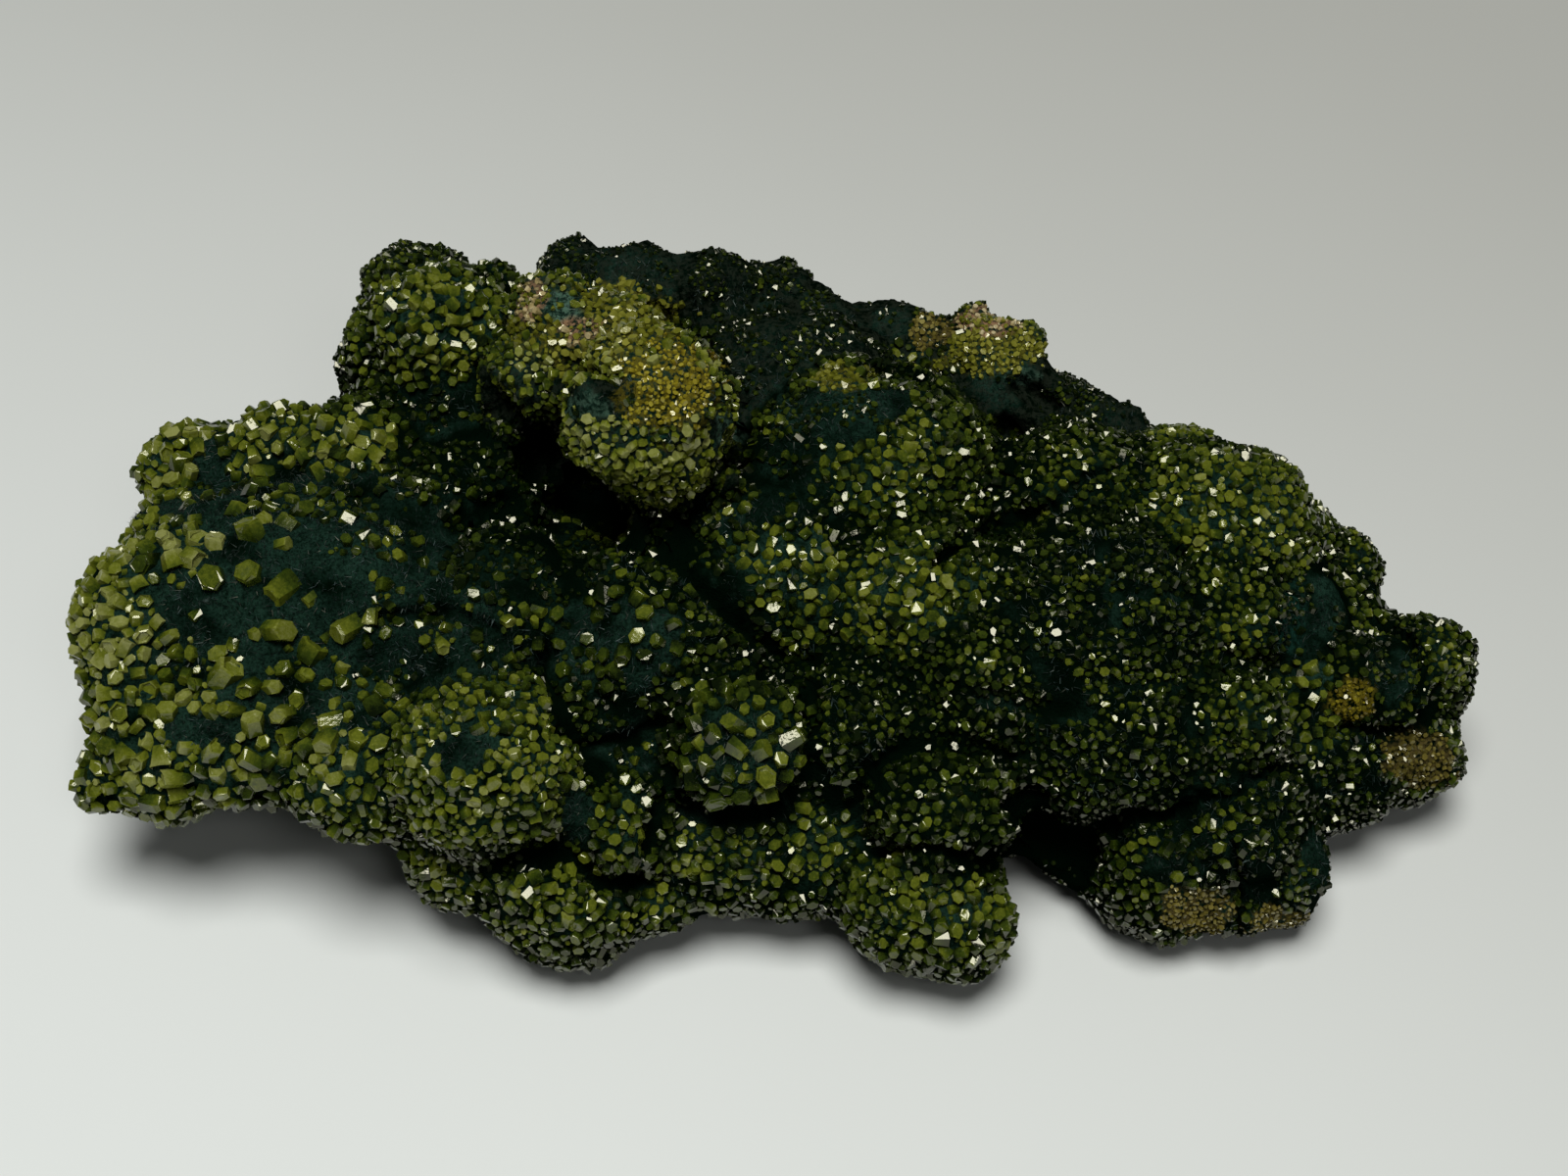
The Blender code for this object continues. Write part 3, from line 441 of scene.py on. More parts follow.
# The nap grows where the crystals' share is under the first value, their tint over the second and the
# crease under the third, and clear of each crystal by a share of its width.
NAP_MOST_SHARE = 0.56
NAP_LEAST_TINT = 0.14
NAP_DEEPEST_CREASE = 0.5
CLEAR_OF_CRYSTALS = 0.42
LOWEST_FIBRE = 1.3
# The fibres' width in millimetres, how their widths and lengths differ, and how they rise and lean.
FIBRE_WIDTH = 0.10
FIBRE_WIDTHS = (0.7, 1.3)
FIBRE_LENGTHS = (0.4, 1.3)
FIBRE_RISES = (0.1, 0.6)
FIBRE_LEAN = 0.6
FIBRE_LEAST_RISE = 0.08
FIBRE_LIFT = 0.42
# Mats of paler fibres: their size, the noise over which they lie, the share of pale fibres in them
# and the tints of pale and dark ones.
PALE_MAT_SIZE = 3.0
PALE_MATS = 0.52
PALE_FIBRES = 0.45
PALE_FIBRE_TINTS = (0.6, 1.0)
DARK_FIBRE_TINTS = (0.0, 0.5)

# The fibres of the velvet's pile: how often they bend, by how many metres, and how long they are drawn.
FIBRE_BENDS = 260.0
FIBRE_BENDING = (0.004, 0.004, 0.004)
FIBRE_STRETCH = (1.0, 0.28, 0.45)
# The tint of the crystals' glints, and how far clouds, dust, painted shade at the foot and polish
# change them.
GLINT_TINT = (1.0, 0.97, 0.74, 1.0)
CLOUDINESS = 0.75
DUST_ON_CRYSTALS = 0.20
FOOT_SHADE = 0.45
POLISH_SPREAD = 0.14
OLIVE_ROUGHNESS = 0.06
CRUST_ROUGHNESS = 0.08
FIBRE_ROUGHNESS = 0.45
PYROMORPHITE_IOR = 1.62
FIBRE_IOR = 1.4

# The stage in metres: the floor, the lamps' diameters and places, and the nearest thing seen. The
# sensor is in millimetres.
FLOOR_SIZE = 6.0
KEY_SIZE = 0.50
KEY_PLACE = (-0.03, -0.12, 0.94)
FILL_SIZE = 0.18
FILL_PLACE = (0.22, -0.42, 0.58)
ROOM_COLOUR = (0.93, 0.97, 1.0)
SENSOR_WIDTH = 36.0
NEAREST_SEEN = 0.01
# How fast painted shade darkens the floor to the right and to the back, per metre, and how cloudy it
# is.
FLOOR_SHADE_ACROSS = 3.2
FLOOR_SHADE_BACK = 5.4
FLOOR_CLOUDS = 0.06

# The seed of all random draws.
SEED = 7


def unit(values):
    """Keeps values between 0 and 1."""
    return np.clip(values, 0.0, 1.0)


def unit_vectors(vectors):
    return vectors / np.linalg.norm(vectors, axis=1)[:, None]


def numbers(items, field, kind, width):
    """A field of a mesh's points, corners or faces as an array."""
    found = np.empty(len(items) * width, kind)
    items.foreach_get(field, found)
    return found.reshape(-1, width) if width > 1 else found


def read_skin(mesh, scale=1.0):
    """The places of a mesh's points, divided by the scale, and its normals there."""
    places = numbers(mesh.vertices, "co", np.float32, 3).astype(float) / scale
    return places, numbers(mesh.vertices, "normal", np.float32, 3).astype(float)


def write_numbers(mesh, name, values):
    """Stores a number for each of a mesh's points, for its material to read."""
    attribute = mesh.attributes.new(name, "FLOAT", "POINT")
    attribute.data.foreach_set("value", np.asarray(values, np.float32))


def point_tree(points, chosen):
    """A tree of the chosen points, for finding neighbours."""
    tree = KDTree(len(points))
    for i in chosen:
        tree.insert(points[i], i)
    tree.balance()
    return tree


def tree_of(mesh, scale=1.0):
    """A tree of a mesh's faces, its sizes divided by the scale, for casting rays."""
    places, _ = read_skin(mesh, scale)
    faces = [tuple(polygon.vertices) for polygon in mesh.polygons]
    return BVHTree.FromPolygons([Vector(place) for place in places], faces)


def seen_place(across, up, height):
    """The place of a point from where it is seen in the view and its height above the table."""
    sine = sin(VIEW_ELEVATION)
    cosine = cos(VIEW_ELEVATION)
    above = height - VIEW_HEIGHT
    drop = above * sine / VIEW_DISTANCE
    back = (up * (1 - drop) - above * cosine) / (sine - up * cosine / VIEW_DISTANCE)
    nearer = above * sine - back * cosine
    return Vector((across * (1 - nearer / VIEW_DISTANCE), back, height))


def seen_at(places):
    """Where points are seen, across and up the view: the reverse of seen_place, for an array."""
    from_target = places - np.array(CENTRE_SHIFT) - (0.0, 0.0, VIEW_HEIGHT)
    nearer = from_target @ (0.0, -cos(VIEW_ELEVATION), sin(VIEW_ELEVATION))
    up = from_target @ (0.0, sin(VIEW_ELEVATION), cos(VIEW_ELEVATION))
    closer = 1 - nearer / VIEW_DISTANCE
    return from_target[:, 0] / closer, up / closer


def view_point():
    """Where the view is taken from, in millimetres."""
    away = Vector((0.0, -cos(VIEW_ELEVATION), sin(VIEW_ELEVATION)))
    return CENTRE_SHIFT + Vector((0.0, 0.0, VIEW_HEIGHT)) + away * VIEW_DISTANCE


def faces_view(places, normals):
    """Which points lie on skin that is turned towards the view."""
    return ((np.array(view_point()) - places) * normals).sum(axis=1) > 0


def seen_points(places, normals, tree):
    """Which points face the view and aren't hidden from it."""
    seen = faces_view(places, normals)
    eye = view_point()
    for i in np.flatnonzero(seen):
        point = Vector(places[i])
        direction = (eye - point).normalized()
        hit, _, _, _ = tree.ray_cast(point + direction * SIGHT_CLEARANCE, direction)
        seen[i] = hit is None
    return seen


def all_lobes():
    """The lobes of both tables, with their centres in place."""
    lobes = []
    for name, across, up, height, radii, cover in SEEN_LOBES:
        centre = seen_place(across, up, height) + CENTRE_SHIFT
        lobes.append(Lobe(name, centre, Vector(radii), Cover(*cover)))
    for name, place, radii in FAR_LOBES:
        lobes.append(Lobe(name, Vector(place) + CENTRE_SHIFT, Vector(radii), FAR_COVER))
    return lobes


def lobe_surface(points, lobe):
    """How far points lie outside a lobe, and the direction away from its surface there."""
    offset = (points - np.array(lobe.centre)) / np.array(lobe.radii)
    depth = np.linalg.norm(offset, axis=1)
    slope = offset / np.array(lobe.radii) / depth[:, None]
    steepness = np.linalg.norm(slope, axis=1)
    return (depth - 1) / steepness, slope / steepness[:, None]


def nearest_lobes(points, lobes):
    """Each point's nearest lobe, how deep it lies in a crease (0 to 1) and how near a crown."""
    nearest = np.zeros(len(points), int)
    distance = np.full(len(points), np.inf)
    outward = np.zeros((len(points), 3))
    for i, lobe in enumerate(lobes):
        gap, direction = lobe_surface(points, lobe)
        closer = gap < distance
        nearest[closer] = i
        distance[closer] = gap[closer]
        outward[closer] = direction[closer]
    crease = np.zeros(len(points))
    for lobe in lobes:
        gap, direction = lobe_surface(points, lobe)
        close = unit(1 - (gap - distance) / CREASE_REACH)
        turned = unit((CREASE_COSINE - (direction * outward).sum(axis=1)) * CREASE_STEEPNESS)
        crease = np.maximum(crease, close * turned)
    crease = unit(crease * (1 + CREASE_LEFT_OUT) - CREASE_LEFT_OUT)
    return nearest, crease, outward @ CROWN_AXIS - CROWN_LEVEL


def on_lumpy_lobes(places, lobes):
    """Which points lie on the crumpled lobes."""
    lumpy = np.array([lobe.name.startswith(LUMPY_LOBES) for lobe in lobes])
    return lumpy[nearest_lobes(places, lobes)[0]]


def clump_noise(points, size):
    """Noise from about 0 to 1 that decides where crystals stand close and where the skin is bare."""
    values = [noise.noise(Vector(point) / size) for point in points]
    return 0.5 + CLUMP_SPREAD * np.array(values)


def ellipse_reach(across, up, patch, growth=1.0):
    """Under 1 inside a patch's ellipse, which may be grown, and over 1 outside it."""
    sideways = (across - patch.across) / (patch.wide * growth)
    upwards = (up - patch.up) / (patch.high * growth)
    return sideways**2 + upwards**2


def ragged_edge(places):
    """Around 1, how far out of its ellipse a patch reaches at each place."""
    grains = clump_noise(places, EDGE_GRAIN) + FINE_EDGE_WEIGHT * clump_noise(places, FINE_EDGE_GRAIN)
    return np.clip(1.0 + EDGE_WANDER * (grains - EDGE_MIDDLE), *EDGE_LIMITS)


def valley_at(places, seen):
    """From 0 to 1, how deep in one of the dark valleys each point lies; seen from the view only."""
    across, up = seen_at(places)
    wander = VALLEY_STEADY + VALLEY_WANDER * ragged_edge(places)
    deepest = np.zeros(len(places))
    for half_width, depth, points in VALLEYS:
        for (a0, u0), (a1, u1) in zip(points, points[1:]):
            run = a1 - a0
            rise = u1 - u0
            along = unit(((across - a0) * run + (up - u0) * rise) / (run**2 + rise**2))
            away = np.hypot(across - a0 - along * run, up - u0 - along * rise)
            inside = unit(VALLEY_SIDES * (1 - away / half_width / wander))
            deepest = np.maximum(deepest, depth * inside * inside * (3 - 2 * inside))
    return deepest * seen


def cover_at(points, normals, tree):
    """The crystals' usual width, share and tint at each point, its crust and its crease; the tint holds
    painted shade in creases and valleys and painted light towards the crowns.
    """
    lobes = all_lobes()
    nearest, crease, crown = nearest_lobes(points, lobes)
    width, share, tint = np.array([lobe.cover for lobe in lobes])[nearest].T.copy()
    crust = np.full(len(points), "", dtype="U8")
    across, up = seen_at(points)
    seen = seen_points(points, normals, tree)
    ragged = ragged_edge(points)
    for patch in PATCHES:
        within = seen & (ellipse_reach(across, up, patch) < ragged)
        for field, value in zip((width, share, tint), patch.cover):
            field[within] = value
        crust[within] = patch.crust
    mixed = (crust == "rose") & (clump_noise(points, ROSE_GRAIN) < YELLOW_IN_ROSE)
    crust[mixed] = "yellow"
    crease = np.maximum(crease * MEETING_DEPTH, valley_at(points, seen))
    plain_crease = crease * (crust == "")
    width = width * (1 - CREASE_WIDTH * plain_crease) * (1 + CROWN_WIDTH * crown)
    share = share * (1 - CREASE_SHARE * plain_crease)
    # Painted light and shade: the tint is darkened in creases and valleys and paled towards the crowns.
    tint = tint - CREASE_PAINTED_SHADE * crease + CROWN_PAINTED_LIGHT * crown
    return width, share, tint, crust, crease


class Value:
    """A shader socket that takes part in sums, so that node maths reads as plain maths."""

    def __init__(self, shader, socket):
        self.shader = shader
        self.socket = socket

    def sum(self, operation, *terms):
        inputs = dict(enumerate(terms))
        return self.shader.node("ShaderNodeMath", {"operation": operation}, inputs)

    def __add__(self, other):
        return self.sum("ADD", self, other)

    def __sub__(self, other):
        return self.sum("SUBTRACT", self, other)

    def __rsub__(self, other):
        return self.sum("SUBTRACT", other, self)

    def __mul__(self, other):
        return self.sum("MULTIPLY", self, other)

    __radd__ = __add__

    def between(self, low, high):
        """0 below low, 1 above high and a smooth step from one to the other."""
        settings = {"interpolation_type": "SMOOTHSTEP"}
        inputs = {"Value": self, "From Min": low, "From Max": high}
        return self.shader.node("ShaderNodeMapRange", settings, inputs)


class Shader:
    """A material's node tree round its Principled BSDF."""

    def __init__(self, name, **constants):
        self.material = bpy.data.materials.new(name)
        self.material.use_nodes = True
        self.tree = self.material.node_tree
        self.surface = self.tree.nodes["Principled BSDF"]
        for socket, value in constants.items():
            self.surface.inputs[socket.replace("_", " ")].default_value = value
        self.place = self.node("ShaderNodeTexCoord", output="Object")

    def node(self, kind, settings=(), inputs=(), output=0):
        """Adds a node, sets it up, then fills or links its inputs, and returns one output."""
        node = self.tree.nodes.new(kind)
        for name, value in dict(settings).items():
            setattr(node, name, value)
        for key, value in dict(inputs).items():
            self.feed(node.inputs[key], value)
        return Value(self, node.outputs[output])

    def feed(self, socket, value):
        if isinstance(value, Value):
            self.tree.links.new(value.socket, socket)
        else:
            socket.default_value = value

    def noise(self, size, detail=2.0, place=None, roughness=0.5):
        """Soft noise from 0 to 1 whose grains are about size millimetres across."""
        inputs = {
            "Vector": place or self.place,
            "Scale": 1 / (size * MILLIMETRE),
            "Detail": detail,
            "Roughness": roughness,
        }
        return self.node("ShaderNodeTexNoise", {}, inputs)

    def mix(self, factor, first, second):
        """A colour between two colours."""
        inputs = {0: factor, 6: first, 7: second}
        return self.node("ShaderNodeMix", {"data_type": "RGBA"}, inputs, 2)

    def attribute(self, name, output="Fac"):
        return self.node("ShaderNodeAttribute", {"attribute_name": name}, output=output)

    def finish(self, colour, roughness, height=None, depth=0.0):
        """Joins the colour, the roughness and a relief of depth millimetres to the surface."""
        self.feed(self.surface.inputs["Base Color"], colour)
        self.feed(self.surface.inputs["Roughness"], roughness)
        if height:
            inputs = {"Height": height, "Distance": depth * MILLIMETRE}
            self.feed(self.surface.inputs["Normal"], self.node("ShaderNodeBump", {}, inputs))
        return self.material


def rgba(colour):
    return (*colour, 1.0)


def velvet_material(look):
    """The malachite's skin: a short dark pile with pale fibres, partly a painted sheen, stained where
    crusts grow, and darkened with painted shade by its shade attribute.
    """
    shader = Shader("velvet malachite", IOR=1.45, Specular_IOR_Level=0.0)
    broad = shader.noise(size=5.0, detail=3.0)
    felt = shader.noise(size=0.9, detail=3.0, roughness=0.7)
    pile = shader.noise(size=0.28, detail=4.0, roughness=0.7)
    bends = {"Vector": shader.place, "Scale": FIBRE_BENDS}
    bend = shader.node("ShaderNodeTexNoise", {}, bends, "Color")
    bending = {0: bend, 1: FIBRE_BENDING, 2: shader.place}
    bent = shader.node("ShaderNodeVectorMath", {"operation": "MULTIPLY_ADD"}, bending)
    stretched = shader.node("ShaderNodeMapping", {}, {"Vector": bent, "Scale": FIBRE_STRETCH})
    fibres = shader.noise(size=0.26, detail=3.0, place=stretched).between(0.56, 0.70)
    where = shader.noise(size=3.5, detail=2.0).between(0.42, 0.60)
    # Painted shade: where the shade attribute is high the skin takes the deep velvet colour.
    open_skin = 1 - shader.attribute("shade")
    smooth = broad.between(0.30, 0.58) * open_skin
    skin = shader.mix(smooth, rgba(look.deep_velvet_and_shade), rgba(look.velvet))
    # The pale fibres are partly a painted sheen, where the fibres catch the light, and partly dust.
    dusty = shader.mix(fibres * where * open_skin * 0.8, skin, rgba(look.fibre))
    speckles = pile.between(0.42, 0.60) * 0.5 + felt.between(0.40, 0.62) * 0.4
    speckled = shader.mix(speckles, dusty, rgba(look.deep_velvet_and_shade))
    # The stains are real colours, save the painted sheen under the cap.
    stain = shader.attribute("stain", "Color")
    stained = shader.attribute("stained")
    share = stained * shader.noise(size=0.7, detail=4.0, roughness=0.65).between(0.42, 0.58)
    colour = shader.mix(share, speckled, stain)
    relief = pile + felt * 1.5 + fibres * 0.4
    return shader.finish(colour, 0.85 + pile * 0.12, relief, depth=0.22)


def crystal_material(name, stops, roughness, ior):
    """Waxy to glassy crystals, each of its own tint along the stops, with painted shade at its foot."""
    shader = Shader(name, IOR=ior, Specular_Tint=GLINT_TINT)
    tint = shader.attribute("tint")
    rise = shader.attribute("rise")
    cloudy = (shader.noise(size=0.5, detail=4.0, roughness=0.75) - 0.5) * CLOUDINESS
    dust = shader.noise(size=0.14, detail=2.0).between(0.60, 0.74) * DUST_ON_CRYSTALS
    # Painted shade: each crystal darkens towards its foot on the skin.
    mottled_and_shaded = tint + cloudy + dust - (1 - rise) * FOOT_SHADE
    ramp = shader.tree.nodes.new("ShaderNodeValToRGB")
    elements = ramp.color_ramp.elements
    elements[0].position = 0.0
    elements[0].color = rgba(stops[0])
    elements[1].position = 1.0
    elements[1].color = rgba(stops[-1])
    for i, stop in enumerate(stops[1:-1], start=1):
        elements.new(i / (len(stops) - 1)).color = rgba(stop)
    shader.feed(ramp.inputs["Fac"], mottled_and_shaded)
    colour = Value(shader, ramp.outputs["Color"])
    grain = shader.noise(size=0.42, detail=2.0)
    uneven = roughness + shader.attribute("polish") * POLISH_SPREAD
    return shader.finish(colour, uneven, grain, depth=0.024)


def floor_material(look):
    """A plain matt board with painted shade, darker towards the back and the right as the light falls
    off.
    """
    shader = Shader("plain floor", IOR=1.45)
    split = {"Vector": shader.place}
    across = shader.node("ShaderNodeSeparateXYZ", {}, split, "X")
    back = shader.node("ShaderNodeSeparateXYZ", {}, split, "Y")
    darker = (across * FLOOR_SHADE_ACROSS + back * FLOOR_SHADE_BACK).between(-0.9, 1.1)
    cloudy = darker + (shader.noise(size=60.0, detail=2.0) - 0.5) * FLOOR_CLOUDS
    colour = shader.mix(cloudy, rgba(look.near_floor), rgba(look.far_floor))
    return shader.finish(colour, roughness=0.6)


def deselect_all():
    bpy.ops.object.select_all(action="DESELECT")


def make_active(obj):
    deselect_all()
    obj.select_set(True)
    bpy.context.view_layer.objects.active = obj


def apply_modifier(obj, name, kind, **settings):
    modifier = obj.modifiers.new(name, kind)
    for key, value in settings.items():
        setattr(modifier, key, value)
    make_active(obj)
    bpy.ops.object.modifier_apply(modifier=name)


def add_object(name, data):
    obj = bpy.data.objects.new(name, data)
    bpy.context.scene.collection.objects.link(obj)
    return obj


def mount_piece(obj, material):
    """Dresses a finished piece and sets it on the body in the place of the plain solid."""
    obj.data.materials.clear()
    obj.data.materials.append(material)
    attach(obj, BODY)
    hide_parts(NODE)


def raise_skin(mesh, height_at):
    """Moves a mesh's points along their normals by the heights found for their places."""
    places, normals = read_skin(mesh)
    moved = places + normals * height_at(places)[:, None]
    mesh.vertices.foreach_set("co", moved.astype(np.float32).ravel())
    mesh.update()


def swell(places, height, size):
    """The uneven growth of the lobes, along the surface's normal."""
    return height * np.array([noise.noise(Vector(place) / size) for place in places])


def lumps(places, size):
    """Round lumps like those of a crumpled crust, from about -0.5 to 0.5."""
    return np.array([0.5 - noise.voronoi(Vector(place) / size)[0][0] for place in places])


def crumple(places, lobes, look):
    """The lumps of the crumpled lobes, and faint ones on all the others."""
    strength = np.where(on_lumpy_lobes(places, lobes), 1.0, FAINT_LUMPS)
    fine = lumps(places, look.lump_size * FINE_LUMP_SIZE)
    return look.lump_height * strength * (lumps(places, look.lump_size) + FINE_LUMP_HEIGHT * fine)


def fuse_lobes(lobes, look):
    """One ball for each lobe, fused into one mass whose creases are rounded, in millimetres."""
    deselect_all()
    balls = []
    for lobe in lobes:
        bpy.ops.mesh.primitive_ico_sphere_add(
            subdivisions=4, radius=1.0, location=lobe.centre,
            scale=[radius + look.fillet for radius in lobe.radii],
        )
        balls.append(bpy.context.active_object)
    for ball in balls:
        ball.select_set(True)
    bpy.ops.object.join()
    mass = bpy.context.active_object
    bpy.ops.object.transform_apply(location=True, rotation=True, scale=True)
    apply_modifier(mass, "Fuse", "REMESH", mode="VOXEL", voxel_size=look.voxel)
    apply_modifier(mass, "Even", "SMOOTH", factor=0.5, iterations=2)
    raise_skin(mass.data, lambda places: np.full(len(places), -look.fillet - look.crystal_room))
    return mass


def cut_base(obj):
    """Cuts the mass off flat on the table and closes the cut."""
    make_active(obj)
    bpy.ops.object.mode_set(mode="EDIT")
    bpy.ops.mesh.select_all(action="SELECT")
    bpy.ops.mesh.bisect(
        plane_co=(0.0, 0.0, 0.0), plane_no=(0.0, 0.0, 1.0), clear_inner=True, use_fill=True
    )
    bpy.ops.mesh.select_all(action="SELECT")
    bpy.ops.mesh.quads_convert_to_tris()
    bpy.ops.mesh.normals_make_consistent(inside=False)
    bpy.ops.object.mode_set(mode="OBJECT")


def stain_and_shade_skin(mesh, look):
    """Writes the skin's stains to its points, a colour and its strength, and its painted shade in
    creases, valleys, recesses and among close crystals.
    """
    places, normals = read_skin(mesh)
    _, share, tint, _, crease = cover_at(places, normals, tree_of(mesh))
    # Painted shade: the skin darkens where crystals stand close and their tint is low.
    crowded = unit(share * CROWDED_SLOPE - CROWDED_START) * unit((PALE_TINT - tint) / PALE_RANGE)
    # Painted shade: skin under the lowest tints is painted black, as in recesses and shaded creases.
    black_shade = unit(1 - tint / BLACK_TINT)
    shade = np.maximum(crowded * look.shade_under_crystals, black_shade)
    write_numbers(mesh, "shade", np.maximum(crease, shade))
    dusty = on_lumpy_lobes(places, all_lobes())
    colours = np.where(dusty[:, None], rgba(look.dust), 0.0).astype(np.float32)
    strengths = np.where(dusty, look.dustiness, 0.0)
    facing = faces_view(places, normals)
    ragged = ragged_edge(places)
    across, up = seen_at(places)
    grounds = [Stain(*patch[:5], 1.0, patch.crust) for patch in PATCHES if patch.crust]
    for stain in grounds + STAINS:
        reach = ellipse_reach(across, up, stain, STAIN_GROWTH)
        strength = stain.strength * unit(STAIN_FADE * (1 - reach / ragged)) * facing
        stronger = strength > strengths * STAIN_PRIORITY
        colours[stronger & (strength > 0)] = rgba(getattr(look, stain.colour))
        strengths = np.maximum(strengths, strength)
    layer = mesh.attributes.new("stain", "FLOAT_COLOR", "POINT")
    layer.data.foreach_set("color", colours.ravel())
    write_numbers(mesh, "stained", strengths)


def select_top(obj):
    """Selects the faces of a piece in edit mode that look up from its upper half."""
    bpy.ops.mesh.select_mode(type="FACE")
    bpy.ops.mesh.select_all(action="DESELECT")
    bpy.ops.object.mode_set(mode="OBJECT")
    for polygon in obj.data.polygons:
        polygon.select = polygon.normal.z > LEAST_LEVEL and polygon.center.z > 0.0
    bpy.ops.object.mode_set(mode="EDIT")


def take_prototype(obj):
    """Reads a modelled piece's mesh and removes the piece."""
    mesh = obj.data
    prototype = Prototype(
        numbers(mesh.vertices, "co", np.float32, 3),
        numbers(mesh.loops, "vertex_index", np.int32, 1),
        numbers(mesh.polygons, "loop_start", np.int32, 1),
        numbers(mesh.uv_layers.active.uv, "vector", np.float32, 2),
    )
    bpy.data.objects.remove(obj, do_unlink=True)
    return prototype


def model_crystal(chamfer, rings):
    """One crystal a unit wide and a unit high, with its middle at the origin."""
    deselect_all()
    bpy.ops.mesh.primitive_cylinder_add(vertices=6, radius=1 / 3**0.5, depth=1.0, location=(0, 0, 0))
    obj = bpy.context.active_object
    bpy.ops.object.mode_set(mode="EDIT")
    if chamfer:
        select_top(obj)
        bpy.ops.mesh.bevel(offset=chamfer, segments=1, affect="EDGES")
    for inset, rise in rings:
        select_top(obj)
        bpy.ops.mesh.inset(thickness=inset, depth=rise)
    bpy.ops.mesh.select_all(action="SELECT")
    bpy.ops.uv.smart_project(island_margin=0.02)
    bpy.ops.object.mode_set(mode="OBJECT")
    return take_prototype(obj)


def model_fibre():
    """One three-sided needle a unit wide and a unit high."""
    deselect_all()
    bpy.ops.mesh.primitive_cone_add(vertices=3, radius1=0.5, radius2=0.0, depth=1.0)
    return take_prototype(bpy.context.active_object)


def scatter(mesh, count, rng):
    """Points spread evenly over a mesh by area, with the surface's normals there."""
    mesh.calc_loop_triangles()
    places, normals = read_skin(mesh, MILLIMETRE)
    corners = numbers(mesh.loop_triangles, "vertices", np.int32, 3)
    a, b, c = (places[corners[:, k]] for k in range(3))
    areas = np.linalg.norm(np.cross(b - a, c - a), axis=1)
    chosen = rng.choice(len(corners), count, p=areas / areas.sum())
    u = rng.random(count)
    v = rng.random(count)
    folded = u + v > 1
    u[folded] = 1 - u[folded]
    v[folded] = 1 - v[folded]
    weights = np.stack([1 - u - v, u, v], axis=1)[:, :, None]
    points = (places[corners[chosen]] * weights).sum(axis=1)
    return points, unit_vectors((normals[corners[chosen]] * weights).sum(axis=1))


def choose_seats(mesh, look, rng):
    """Thins the tried seats out until no two crystals stand closer than their widths allow."""
    points, normals = scatter(mesh, look.candidates, rng)
    width, share, tint, crust, _ = cover_at(points, normals, tree_of(mesh, MILLIMETRE))
    spread = np.clip(rng.normal(0.0, 1.0, len(points)), *SPREAD_LIMITS)
    widths = look.size * width * np.exp(look.width_spread * spread)
    fines = rng.random(len(points)) < FINE_SHARE
    widths[fines] *= FINE_SIZE
    widths = np.maximum(widths, SMALLEST_CRYSTAL)
    coarse = COARSE_CLUMPS * clump_noise(points, look.clump_size)
    clump = coarse + FINE_CLUMPS * clump_noise(points, FINE_CLUMP_SIZE)
    clump = clump + STRAY_CRYSTALS * (rng.random(len(points)) - 0.5)
    clears_table = points[:, 2] > LOWEST_CRYSTAL + widths * CRYSTAL_HANG
    wanted = np.flatnonzero((clump < BARE_CLUMP + share * COVERED_CLUMPS) & clears_table)
    turn = widths[wanted] * rng.uniform(*TURN_SPREAD, len(wanted))
    order = wanted[np.argsort(-turn, kind="stable")]
    spacing = look.packing + (1 - share) * look.loosening
    near = point_tree(points, wanted)
    free = np.ones(len(points), bool)
    widest = widths[wanted].max()
    taken = []
    for i in order:
        if not free[i]:
            continue
        taken.append(i)
        reach = (widths[i] + widest) / 2 * spacing[i]
        for _, j, distance in near.find_range(points[i], reach):
            if distance < (widths[i] + widths[j]) / 2 * spacing[i]:
                free[j] = False
    return pick(Seats(points, normals, widths, tint, crust), np.array(taken))


def pick(seats, chosen):
    return Seats(*(field[chosen] for field in seats))


def turns(axes, spins):
    """Rotation matrices that take Z to the axes, each with a spin about its own axis."""
    helper = np.where(np.abs(axes[:, 2:]) < 0.9, (0.0, 0.0, 1.0), (1.0, 0.0, 0.0))
    x = unit_vectors(np.cross(helper, axes))
    y = np.cross(axes, x)
    c = np.cos(spins)[:, None]
    s = np.sin(spins)[:, None]
    return np.stack([c * x + s * y, c * y - s * x, axes], axis=2)


def join_copies(name, parts, tints, polishes):
    """One mesh of all copies, with a UV map and the tint, polish and rise of each point."""
    rows = []
    vertex_count = 0
    corner_count = 0
    for placed, prototype, mine, uv in parts:
        copies, size, _ = placed.shape
        first_vertex = vertex_count + size * np.arange(copies)[:, None]
        first_corner = corner_count + len(prototype.corners) * np.arange(copies)[:, None]
        rows.append((
            placed.reshape(-1, 3) * MILLIMETRE,
            (prototype.corners + first_vertex).ravel(),
            (prototype.starts + first_corner).ravel(),
            uv.reshape(-1, 2),
            np.repeat(tints[mine], size),
            np.repeat(polishes[mine], size),
            np.tile(prototype.places[:, 2] + 0.5, copies),
        ))
        vertex_count += copies * size
        corner_count += copies * len(prototype.corners)
    places, corners, starts, uv, *facts = (np.concatenate(column) for column in zip(*rows))
    mesh = bpy.data.meshes.new(name)
    mesh.vertices.add(vertex_count)
    mesh.loops.add(corner_count)
    mesh.polygons.add(len(starts))
    mesh.vertices.foreach_set("co", places.astype(np.float32).ravel())
    mesh.polygons.foreach_set("loop_start", starts.astype(np.int32))
    mesh.polygons.foreach_set("vertices", corners.astype(np.int32))
    mesh.update(calc_edges=True)
    layer = mesh.uv_layers.new(name="OFBake")
    layer.uv.foreach_set("vector", uv.astype(np.float32).ravel())
    for field, values in zip(("tint", "polish", "rise"), facts):
        write_numbers(mesh, field, values)
    mesh.shade_flat()
    return add_object(name, mesh)


